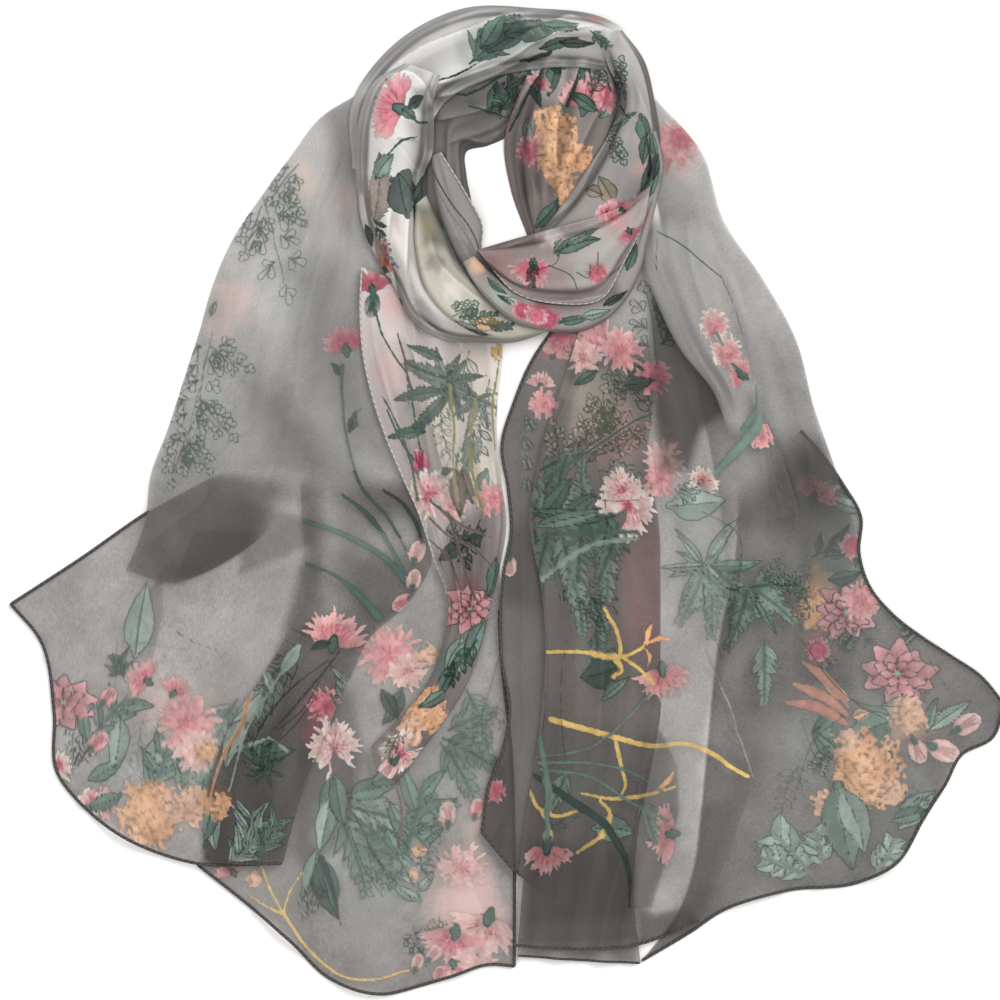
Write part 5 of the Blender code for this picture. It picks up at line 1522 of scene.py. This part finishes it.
paint_each(front_print.veil_and_shade, [
    ([(94, 138), (116, 106), (137, 73), (149, 60), (127, 44), (120, 18), (101, 18), (96, 64)],
     0.42, 0.86, 4), ([(124, 51), (135, 72), (146, 58), (154, 38), (140, 18), (122, 18)], 0.95, 0.58, 4),
    ([(14, -220), (84, -229), (84, -273), (14, -276)], 0.65, 0.72, 6),
    ([(14, -287), (101, -284), (120, -265), (127, -278), (88, -294), (10, -299)], 0.9, 0.7, 2),
    ([(85, -265), (98, -270), (119, -265), (127, -278), (88, -291)], 0.7, 0.8, 3),
    ([(14, -40), (101, -40), (101, -92), (88, -170), (16, -131)], 1.2, 0.44, 14),
    ([(99, -14), (150, -20), (151, -66), (135, -131), (127, -196), (118, -266), (95, -265), (105, -234),
     (113, -204), (112, -174), (102, -151), (101, -125)], 0.95, 0.54),
    ([(88, -154), (101, -151), (112, -174), (113, -204), (105, -234), (95, -266), (80, -266), (85, -216)],
     0.8, 0.76, 1.2),
    ([(151, -27), (192, -14), (200, -60), (192, -118), (159, -190), (131, -196), (137, -131), (151, -73)],
     1.4, 0.12, 8), ([(144, 57), (169, 64), (192, -1), (196, -40), (156, -21), (137, 12)], 1.4, 0.14, 8)])
soften(front_print, start=10)
make_cloth(front_print, open_chiffon)
make_hem(right_front, [("end", 0, 1)], dark_thread)

# %% The turn at the top of the right tail
right_twist = Cloth(
    "right_twist", "wall",
    sections=[(94, 190, 135, 184), (89, 158, 144, 155), (99, 126, 150, 124), (114, 96, 158, 95),
              (135, 69, 164, 64), (146, 38, 159, 34)], crown=(7, 5), folds=[(0.3, 0.45, 0.18, 4, 0, 0.9)],
    creases=[(0.62, 0.55, 4, 1.8, 0, 0.8), (0.14, 0.2, 3, 1.2, 0, 0.9)], pitch=0.95)
twist_print = Print(right_twist, ((0.36, 0.35, 0.34), (0.36, 0.35, 0.34)), (0.66, 0.62))
sow(twist_print, [
    (frill, 135, 113, 11, 350), (blossom, 137, 110, 8), (frill, 143, 95, 12), (blossom, 145, 92, 9),
    (cornflower, 156, 78, 13, 300), (leaf, 150, 82, 10, 120, GREEN)])
draw_each(twist_print.pencil, [
    [(96, 173), (114, 164), (128, 153), (139, 144)], [(98, 168), (98, 156), (98, 147)],
    [(139, 144), (148, 125), (155, 103), (161, 79)]], 0.9)
twist_print.trail([(137, 107), (141, 99)], (0.5, 0.5), LEAF)
twist_print.trail([(147, 87), (154, 81)], (0.5, 0.8), GREEN)
twist_print.trail([(164, 73), (164, 61), (154, 44)], (0.8, 2.4, 2.8), LEAF)
twist_print.veil_and_shade([(88, 194), (103, 185), (98, 168), (93, 153)], 0.6, 0.9, 7)
soften(twist_print, start=18, end=14, right=12)
make_cloth(twist_print, open_chiffon, "folded")

# %% [markdown]
# ## The neck loop
# In the loop the cloth is gathered to a strand as thick as a thumb. A hand would see a crowned
# bundle with the edges of its layers along both sides, a few long folds that overlap, and finer
# pleats between them. Each strand is laid on the one that it crosses, and its ends sink under its
# neighbours. The gathered cloth is many layers deep, so it isn't sheer.

# %% The inside of the loop
FULL = (1.0, 1.0)
neck_inner = Cloth(
    "neck_inner", "bundle",
    sections=[(-58, 184, -18, 164), (-57, 203, -20, 179), (-56, 222, -22, 194), (-53, 240, -25, 210),
              (-49, 259, -25, 225), (-38, 273, -11, 229), (-20, 279, 2, 236), (-3, 287, 6, 251),
              (15, 294, 17, 262), (33, 299, 28, 273)], crown=(5, 5), folds=[(0.62, 0.6, 0.16, 3, 0.1)],
    creases=[(0.8, 0.76, 2.5, 1.6, 0.1)],
    pleats=[([(-47, 259), (-34, 261), (-19, 268), (0, 282)], 9, 2.8, 0.45),
            ([(-46, 244), (-32, 247), (-16, 251), (2, 259)], 9, 2.4, 0.4),
            ([(-38, 229), (-28, 233), (-12, 231), (-1, 238)], 8, 2, 0.28),
            ([(-27, 259), (-14, 252), (3, 243)], 5, -1.2, 0.25)], pitch=0.8)
neck_inner_print = Print(neck_inner, ((0.155, 0.147, 0.137), (0.115, 0.108, 0.1)), FULL)
sow(neck_inner_print, [
    (leaf, -3, 252, 24, 24, GREEN), (leaf, -5, 269, 24, 190, GREEN),
    (leaf, 5, 259, 26, 350, DARK_LEAF, 0.12), (leaf, 0, 265, 20, 60, DARK_LEAF),
    (sketch, -3, 246, 30, 350, 0.9), (leaf, 10, 274, 26, 40, PALE_LEAF, 0.16)])
draw_each(neck_inner_print.trail, [
    [(-47, 268), (-26, 261), (-3, 272), (10, 278)], [(-25, 257), (-12, 251), (5, 243)],
    [(-5, 270), (-3, 259), (5, 250)]], (0.6, 1, 0.6), DARK_LEAF)
make_cloth(neck_inner_print, gathered_chiffon, "gathered")

inner_left = Cloth(
    "inner_left", "roll",
    sections=[(-48, 221, -42, 224), (-46, 204, -32, 208), (-43, 187, -23, 193), (-38, 171, -15, 177),
              (-31, 155, -15, 160), (-21, 142, -5, 145), (-8, 130, 8, 134)], crown=(3, 3),
    creases=[(0.55, 0.5, 2, -1.2)],
    pleats=[([(-21, 153), (-32, 174), (-42, 196), (-49, 213)], 5, 1.6, 0.3)], pitch=0.8)
inner_left_print = Print(inner_left, ((0.22, 0.212, 0.2), (0.2, 0.19, 0.18)), FULL)
inner_left_print.pencil([(-48, 212), (-36, 192), (-24, 177), (-16, 162)], 0.9)
inner_left_print.pencil([(-49, 208), (-38, 188), (-27, 173), (-18, 160)], 0.7)
make_cloth(inner_left_print, gathered_chiffon, "gathered")
make_hem(inner_left, [("right", 0, 0.9)], pale_thread, 0.6)

# %% The flowered strands on the right of the loop
right_inner = Cloth(
    "right_inner", "bundle",
    sections=[(23, 292, 66, 304), (10, 263, 83, 272), (0, 232, 81, 236), (4, 201, 62, 205),
              (15, 170, 44, 173)], crown=(10, 8),
    folds=[(0.26, 0.3, 0.13, 3.5, 0.05, 0.95), (0.58, 0.6, 0.14, 3, 0.05, 0.95)],
    creases=[(0.16, 0.22, 2.2, 1.4)],
    pleats=[([(-1, 238), (7, 252), (16, 266), (26, 278), (36, 287)], 8, 2.4, 0.36),
            ([(23, 185), (18, 207), (12, 226), (11, 243)], 7, 2, 0.3),
            ([(36, 200), (33, 226), (36, 251), (46, 272), (55, 290)], 9, 2.4, 0.22),
            ([(42, 213), (55, 239), (64, 259), (66, 278)], 9, 2.6, 0.28)], pitch=0.78)
inner_right_print = Print(right_inner, ((0.18, 0.158, 0.148), (0.16, 0.138, 0.128)), FULL)
paint_each(inner_right_print.wash, [
    (16, 223, 11, ROSE, 0.4), (31, 226, 14, ORANGE, 0.3), (28, 272, 18, SHELL, 0.4),
    (52, 278, 14, SHELL, 0.4)])
sow(inner_right_print, [
    (leaf, 7, 264, 26, 20, GREEN, 0.16), (leaf, 16, 269, 30, 28, PALE_LEAF, 0.16),
    (leaf, 28, 261, 34, 16, GREEN, 0.15), (leaf, 36, 252, 30, 44), (leaf, 54, 285, 24, 190, GREEN, 0.18),
    (leaf, 23, 254, 26, 346, DARK_LEAF, 0.14), (leaf, 47, 259, 22, 60, GREEN),
    (cornflower, 44, 286, 15, 340, MAGENTA), (blossom, 45, 291, 9, 0, ROSE),
    (cornflower, 51, 251, 22, 12, (0.5, 0.16, 0.19)), (leaf, 62, 247, 24, 50),
    (leaf, 59, 251, 22, 300, GREEN), (leaf, 15, 246, 24, 172, PALE_LEAF), (pompon, 32, 237, 19),
    (pompon, 34, 220, 19, 0, (0.55, 0.3, 0.13)), (pompon, 37, 205, 12, 0, (0.46, 0.24, 0.1)),
    (pompon, 47, 220, 11), (pompon, 40, 191, 11), (lobed, 26, 173, 14, 20),
    (blossom, 15, 225, 10, 0, ROSE), (leaf, 20, 176, 24, 40, GREEN), (blossom, 66, 261, 10, 0, ROSE),
    (sketch, 55, 259, 26, 20, 0.9), (sketch, 36, 272, 22, 350, 0.9), (cornflower, 21, 265, 9, 20, ROSE)])
draw_each(inner_right_print.trail, [
    [(-2, 238), (10, 256), (26, 277), (46, 291)], [(57, 287), (64, 278), (70, 264)],
    [(40, 254), (46, 269), (51, 285)]], (0.7, 0.9, 0.5), DARK_LEAF)
inner_right_print.veil_and_shade([(5, 240), (25, 240), (28, 200), (11, 194)], 0.74, 1, 5)
make_cloth(inner_right_print, gathered_chiffon, "gathered")
make_hem(right_inner, [("left", 0.15, 1)], pink_thread, 0.4)

right_strand = Cloth(
    "right_strand", "bundle",
    sections=[(62, 300, 76, 304), (66, 282, 90, 285), (75, 261, 97, 259), (67, 236, 101, 230),
              (53, 213, 98, 202), (38, 191, 79, 177), (21, 170, 54, 164)], crown=(9, 11),
    folds=[(0.62, 0.6, 0.3, 2, 0.1, 0.95)], creases=[(0.84, 0.8, 2.2, 1.4)],
    pleats=[([(93, 196), (94, 220), (88, 243), (76, 248), (66, 240)], 7, 2, 0.3),
            ([(28, 177), (46, 195), (58, 217), (70, 239)], 8, 1.6, 0.22),
            ([(98, 213), (96, 239), (88, 261), (76, 285)], 6, 1.6, 0.24)], pitch=0.75)
strand_print = Print(right_strand, ((0.33, 0.315, 0.305), (0.22, 0.2, 0.19)), FULL)
strand_print.wash(88, 213, 8, BLUSH, 0.4)
sow(strand_print, [
    (lobed, 73, 260, 20, 30), (lobed, 76, 269, 16, 20), (lobed, 62, 235, 18, 60),
    (lobed, 71, 233, 18, 150), (leaf, 62, 239, 30, 70, LEAF, 0.14, 8, 0.4),
    (leaf, 88, 247, 22, 160, GREEN, 0.3), (leaf, 92, 235, 20, 186, GREEN, 0.22),
    (sketch, 52, 239, 22, 30, 1), (leaf, 70, 191, 20, 330, (0.2, 0.16, 0.12), 0.3),
    (leaf, 62, 196, 14, 290, (0.2, 0.16, 0.12), 0.3), (sketch, 62, 207, 30, 40, 0.4),
    (blossom, 73, 186, 9, 0, ROSE), (blossom, 84, 190, 9), (leaf, 88, 200, 24, 20, GREEN, 0.16),
    (leaf, 93, 209, 22, 10, DARK_LEAF, 0.16), (bud, 85, 177, 7, 200, MAGENTA),
    (cornflower, 66, 183, 9, 330)])
strand_print.trail([(66, 274), (71, 264), (76, 254), (88, 247)], (0.4, 0.5, 0.6), DARK_LEAF)
strand_print.veil_and_shade([(70, 229), (93, 226), (90, 196), (66, 196)], 0.86, 1, 6)
make_cloth(strand_print, gathered_chiffon, "gathered")

# %% The back of the loop
neck_back = Cloth(
    "neck_back", "bundle",
    sections=[(-99, 214, -60, 205), (-100, 254, -52, 232), (-72, 295, -40, 255), (-28, 318, -9, 272),
              (22, 318, 25, 278), (60, 313, 52, 278), (81, 303, 68, 276)], crown=(10, 9),
    folds=[(0.22, 0.24, 0.2, 2.5)], creases=[(0.1, 0.12, 3, 1, 0.1, 0.9)],
    pleats=[([(23, 315), (-3, 313), (-12, 309), (-30, 302), (-55, 292), (-77, 275), (-86, 259)],
             10, 2.4, 0.3),
            ([(53, 309), (44, 313), (27, 307), (6, 295), (-18, 280), (-28, 273)], 9, 2.6, 0.32),
            ([(-51, 266), (-38, 269), (-23, 274), (5, 285), (27, 298), (45, 303), (63, 306)],
             9, 2.6, 0.42), ([(-49, 259), (-36, 261), (-16, 269), (7, 281), (28, 290)], 6, 1.8, 0.34),
            ([(10, 318), (-16, 317), (-42, 308)], 8, 1, 0.12)], pitch=0.76)
back_print = Print(neck_back, ((0.5, 0.49, 0.475), (0.46, 0.45, 0.435)), FULL)
back_print.wash(60, 311, 8, BLUSH, 0.7)
back_print.wash(5, 299, 20, GREEN, 0.6, 1.8, 72)
sow(back_print, [
    (fern, -23, 281, 56, 46, DARK_LEAF), (fern, -20, 283, 46, 30),
    (leaf, -18, 285, 38, 44, GREEN, 0.26, 9), (leaf, -10, 290, 36, 60, DARK_LEAF, 0.24, 9),
    (leaf, 2, 300, 40, 76, DARK_LEAF, 0.24, 9), (fern, 10, 303, 36, 80),
    (leaf, 23, 306, 26, 84, GREEN, 0.22, 7), (leaf, -15, 292, 30, 26, GREEN, 0.2, 7),
    (leaf, 10, 283, 24, 60, DARK_LEAF, 0.1), (leaf, 23, 290, 26, 70, GREEN, 0.14),
    (leaf, 36, 294, 22, 90, DARK_LEAF, 0.14), (sketch, 55, 302, 18, 130, 0.9)])
back_print.trail([(-49, 269), (-36, 272), (-19, 280)], (0.5, 0.8, 0.6), DARK_LEAF)
back_print.veil_and_shade([
    (-49, 264), (-23, 272), (5, 282), (28, 295), (45, 300), (64, 302), (70, 274), (23, 277), (-16, 266),
    (-42, 246)], 0.55, 1, 2.5)
back_print.veil_and_shade([(62, 315), (83, 304), (80, 295), (70, 273), (62, 278), (66, 298)], 0.95, 1, 3)
soften(back_print, end=16)
make_cloth(back_print, gathered_chiffon, "gathered")

# %% The left strand, which crosses in front
left_strand = Cloth(
    "left_strand", "bundle",
    sections=[(-65, 281, -42, 273), (-85, 269, -46, 257), (-94, 248, -46, 240), (-97, 224, -47, 223),
              (-96, 201, -53, 208), (-93, 178, -53, 191), (-84, 156, -49, 175), (-72, 136, -42, 159),
              (-61, 115, -33, 146), (-41, 103, -20, 134), (-18, 101, -6, 125), (6, 101, 9, 120),
              (28, 108, 26, 117)], crown=(12, 10), folds=[(0.34, 0.3, 0.26, 2.5, 0.05, 0.95)],
    creases=[(0.9, 0.88, 2.2, 1.2, 0, 0.9)],
    pleats=[([(-46, 252), (-53, 269), (-63, 276), (-76, 273)], 8, 2.6, 0.36),
            ([(-62, 251), (-58, 261), (-49, 265)], 6, -2, 0.3),
            ([(-38, 104), (-53, 116), (-62, 134), (-63, 161), (-60, 190), (-55, 203)], 9, 2.6, 0.34),
            ([(-53, 104), (-66, 120), (-72, 144), (-75, 168), (-73, 190)], 8, 2.2, 0.26),
            ([(-83, 155), (-89, 177), (-93, 200)], 7, 1.8, 0.2),
            ([(-11, 109), (-28, 125), (-40, 144), (-46, 165), (-50, 190), (-49, 209)], 7, 2.2, 0.34),
            ([(-55, 209), (-66, 226), (-70, 231), (-53, 231)], 6, 1.4, 0.14)], pitch=0.76)
left_print = Print(left_strand, ((0.53, 0.515, 0.5), (0.5, 0.47, 0.44)), FULL)
paint_each(left_print.wash, [
    (-90, 194, 12, SHELL), (-72, 171, 12, SHELL, 0.7), (-84, 161, 9, BLUSH, 0.35),
    (-76, 153, 9, PINK, 0.35), (-42, 161, 12, IVORY, 0.7), (-65, 122, 12, SHELL, 0.5)])
sow(left_print, [
    (cornflower, -66, 250, 25, 290, (0.5, 0.16, 0.19)), (leaf, -66, 250, 12, 120, GREEN, 0.3),
    (leaf, -62, 252, 14, 60, DARK_LEAF, 0.3), (leaf, -84, 179, 46, 8, (0.24, 0.19, 0.165), 0.22, 9, 0.3),
    (leaf, -83, 207, 20, 40, LEAF, 0.3, 8, 0.4), (leaf, -72, 205, 24, 104, DARK_LEAF, 0.42, 2),
    (leaf, -63, 183, 28, 348, DARK_LEAF, 0.36, 2), (leaf, -55, 182, 26, 8, GREEN, 0.3, 2),
    (twig, -85, 181, 22, 158, BROWN), (sketch, -84, 179, 22, 150, 0.9),
    (leaf, -90, 177, 16, 160, DARK_LEAF), (bud, -77, 153, 9, 20, (0.72, 0.26, 0.16)),
    (blossom, -78, 161, 7), (sketch, -79, 170, 24, 160, 0.8), (lobed, -71, 131, 12, 180, OLIVE),
    (leaf, -50, 200, 22, 168, GREEN), (twig, -47, 196, 28, 160, BROWN), (sketch, -45, 194, 26, 166, 0.8),
    (leaf, -32, 168, 24, 176, DARK_LEAF, 0.12)])
draw_each(left_print.trail, [
    [(-64, 247), (-58, 243), (-46, 242)], [(-55, 233), (-67, 230), (-76, 222)],
    [(-81, 156), (-73, 139), (-68, 125)]], (0.5, 0.9, 0.6), GREEN)
# Painted shade in the left strand's folds: darker patches beside and between its pleats.
left_print.veil_and_shade([(-63, 243), (-46, 246), (-46, 213), (-59, 212)], 0.6, 1, 5)
left_print.veil_and_shade([(-59, 264), (-49, 266), (-45, 251), (-53, 246), (-60, 254)], 0.55, 1, 2.5)
left_print.veil_and_shade([(-55, 205), (-46, 213), (-34, 164), (-16, 131), (-23, 129), (-42, 153)], 0.62, 1, 2.5)
left_print.veil_and_shade([(-60, 129), (-53, 129), (-37, 104), (-45, 103), (-57, 113)], 0.72, 1, 2.5)
make_cloth(left_print, gathered_chiffon, "gathered")

# %% The cream fold, the rope and the front band
cream_fold = Cloth(
    "cream_fold", "roll",
    sections=[(-58, 190, -51, 196), (-58, 161, -41, 174), (-50, 133, -32, 152), (-30, 112, -15, 135),
              (-3, 102, 3, 119), (26, 107, 26, 112)], crown=(5, 4),
    folds=[(0.5, 0.5, 0.25, 2.5, 0.1, 0.9)],
    pleats=[([(-12, 125), (-28, 138), (-42, 153), (-49, 173)], 5, 1.6, 0.22)], pitch=0.75)
cream_print = Print(cream_fold, ((0.42, 0.395, 0.335), (0.36, 0.345, 0.29)), FULL)
paint_each(cream_print.wash, [
    (-49, 176, 8, YELLOW, 0.3), (-45, 153, 9, MID_GREY, 0.75), (-53, 161, 6, OLIVE, 0.3),
    (-34, 134, 8, SHELL, 0.8)])
sow(cream_print, [
    (lobed, -34, 117, 18, 60), (leaf, -37, 112, 24, 100, PALE_LEAF, 0.16),
    (leaf, -20, 112, 20, 80, PEACH, 0.26), (sketch, -29, 117, 26, 84, 1), (sketch, -14, 112, 20, 90, 1),
    (leaf, -28, 108, 20, 96, GREEN, 0.12)])
# A painted shade darkens the cream fold's upper end, for the shadows in its folds.
cream_print.veil_and_shade([(-59, 190), (-42, 190), (-36, 161), (-53, 164)], 0.38, 1, 5)
make_cloth(cream_print, gathered_chiffon, "gathered")

rope_roll = Cloth(
    "rope_roll", "roll",
    sections=[(-20, 157, -28, 152), (-7, 144, -14, 131), (9, 135, 4, 115), (29, 130, 27, 108),
              (51, 131, 52, 109), (64, 143, 73, 122), (75, 158, 86, 142), (84, 172, 92, 166),
              (89, 193, 98, 190), (95, 213, 103, 214), (92, 234, 98, 238)], crown=(8, 8),
    creases=[(0.25, 0.7, 1.4, -1.3), (0.65, 0.35, 1.4, 1)], pitch=0.7)
rope_print = Print(rope_roll, ((0.24, 0.215, 0.2), (0.26, 0.24, 0.23)), FULL)
paint_each(rope_print.wash, [
    (-18, 152, 8, PEACH, 0.8), (-3, 131, 9, PALE_LEAF, 0.8), (23, 118, 12, ROSE, 0.9),
    (88, 181, 8, ROSE, 0.7), (96, 207, 10, GREEN, 0.8)])
sow(rope_print, [
    (leaf, -11, 142, 16, 130, GREEN), (leaf, -5, 131, 16, 120, DARK_LEAF, 0.12),
    (leaf, 1, 129, 16, 110, PALE_LEAF), (blossom, 12, 121, 8, 0, MAGENTA),
    (blossom, 27, 116, 9, 0, MAGENTA), (blossom, 20, 118, 7, 0, ROSE),
    (leaf, 36, 114, 20, 82, GREEN, 0.16), (leaf, 49, 117, 20, 76, PALE_LEAF, 0.16),
    (leaf, 64, 125, 18, 60, DARK_LEAF, 0.14), (leaf, 79, 148, 18, 20, GREEN),
    (blossom, 84, 173, 9, 0, MAGENTA), (leaf, 88, 183, 18, 20, GREEN, 0.16), (leaf, 92, 194, 20, 22),
    (leaf, 96, 207, 18, 12, DARK_LEAF), (leaf, 98, 221, 18, 350, GREEN)])
# A painted shadow along the rope, below the edge of the front band.
rope_print.veil_and_shade([(16, 134), (72, 139), (76, 130), (42, 120), (20, 122)], 0.5, 1, 4)
make_cloth(rope_print, gathered_chiffon, "gathered")

front_band = Cloth(
    "front_band", "bundle",
    sections=[(-18, 161, -12, 153), (5, 168, 7, 133), (29, 174, 35, 126), (52, 180, 62, 129),
              (74, 188, 77, 153), (94, 202, 90, 178)], crown=(8, 8),
    folds=[(0.45, 0.5, 0.35, 2, 0.1, 0.9)],
    pleats=[([(86, 153), (75, 135), (55, 130), (33, 127), (10, 131), (-3, 136)], 6, 1.6, 0.26),
            ([(-7, 160), (16, 168), (42, 177), (68, 186), (88, 196)], 7, 1.6, 0.16)], pitch=0.7)
band_print = Print(front_band, ((0.205, 0.155, 0.15), (0.33, 0.29, 0.28)), FULL)
paint_each(band_print.wash, [
    (59, 160, 20, (0.36, 0.34, 0.32), 0.7), (-3, 153, 12, (0.22, 0.12, 0.12)), (31, 169, 10, SHELL),
    (49, 142, 12, SILVER, 0.5), (72, 179, 9, PINK, 0.4)])
sow(band_print, [
    (sketch, 36, 168, 13, 190, 0.8), (blossom, 18, 146, 11, 190, ROSE),
    (cornflower, 18, 152, 15, 186, ROSE), (blossom, 60, 145, 8, 180, ROSE),
    (sketch, 18, 153, 18, 180, 0.9), (leaf, 33, 159, 30, 74, GREEN, 0.16, 8),
    (leaf, 40, 164, 24, 60, LEAF, 0.14, 7), (cornflower, 76, 185, 12, 340), (blossom, 68, 182, 8),
    (cornflower, 80, 173, 10, 160, ROSE), (sketch, 49, 153, 26, 110, 0.5)])
draw_each(band_print.pencil, [
    [(28, 151), (44, 142), (47, 134)], [(55, 151), (54, 142), (46, 146)],
    [(60, 159), (60, 151), (60, 147)], [(23, 148), (33, 152), (36, 160)],
    [(64, 143), (75, 150), (83, 157)]])
make_cloth(band_print, gathered_chiffon, "gathered")
make_hem(front_band, [("right", 0.05, 0.95)], pale_thread, 0.5)

# %% [markdown]
# The size is read from the stretch itself: the mean length of its rows and of its columns.


# %% [markdown]
# ## Floor, light and camera
# The scarf lies on a plain pale floor under even studio light: a broad soft key from the upper
# left, a fill from the other side, and a pale surround. The camera looks straight down from far
# enough away that the loop, which is 4 cm high, isn't drawn larger than the tails.

# %% Floor
FLOOR_SIDE = 12.0
floor_shape = bmesh.new()
bmesh.ops.create_grid(floor_shape, x_segments=12, y_segments=12, size=FLOOR_SIDE / 2)
floor_mesh = bpy.data.meshes.new("floor")
floor_shape.to_mesh(floor_mesh)
floor_shape.free()
paper, *_ = new_finish("pale_paper", {
    "Base Color": (0.94, 0.925, 0.905, 1.0), "Roughness": 0.9, "Specular IOR Level": 0.0})
floor_mesh.materials.append(paper)
floor = bpy.data.objects.new("floor", floor_mesh)
bpy.context.scene.collection.objects.link(floor)
print("floor of", FLOOR_SIDE, "m")

# %% Light
def sun(name, azimuth, height, strength, softness):
    """A white sun from a bearing and a height in degrees, with a soft edge."""
    lamp = bpy.data.lights.new(name, "SUN")
    lamp.energy = strength
    lamp.angle = math.radians(softness)
    rig = bpy.data.objects.new(name, lamp)
    rig.rotation_euler = (math.radians(90 - height), 0, math.radians(azimuth))
    bpy.context.scene.collection.objects.link(rig)


sun("key", 135, 50, 2.0, 36)
sun("fill", -60, 62, 1.0, 70)
surround = bpy.data.worlds.new("surround")
surround.use_nodes = True
background = surround.node_tree.nodes["Background"].inputs
background["Color"].default_value = (1.0, 1.0, 1.0, 1.0)
background["Strength"].default_value = 0.52
bpy.context.scene.world = surround
bpy.context.scene.view_settings.view_transform = "Standard"
print("two suns and a pale surround")

# %% Camera
FRAME_WIDTH = 0.650
FRAME_CENTRE = (-0.00475, -0.0003)
LENS, SENSOR = 200.0, 36.0
lens = bpy.data.cameras.new("camera")
lens.lens, lens.sensor_width = LENS, SENSOR
camera = bpy.data.objects.new("camera", lens)
camera.location = (*FRAME_CENTRE, FRAME_WIDTH * LENS / SENSOR)
bpy.context.scene.collection.objects.link(camera)
bpy.context.scene.camera = camera
print("camera", round(camera.location.z, 2), "m above the floor")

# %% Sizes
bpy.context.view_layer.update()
meshes = [thing.data for thing in bpy.context.scene.objects if thing.type == "MESH"]
print("triangles:", sum(len(mesh.loops) - 2 * len(mesh.polygons) for mesh in meshes))
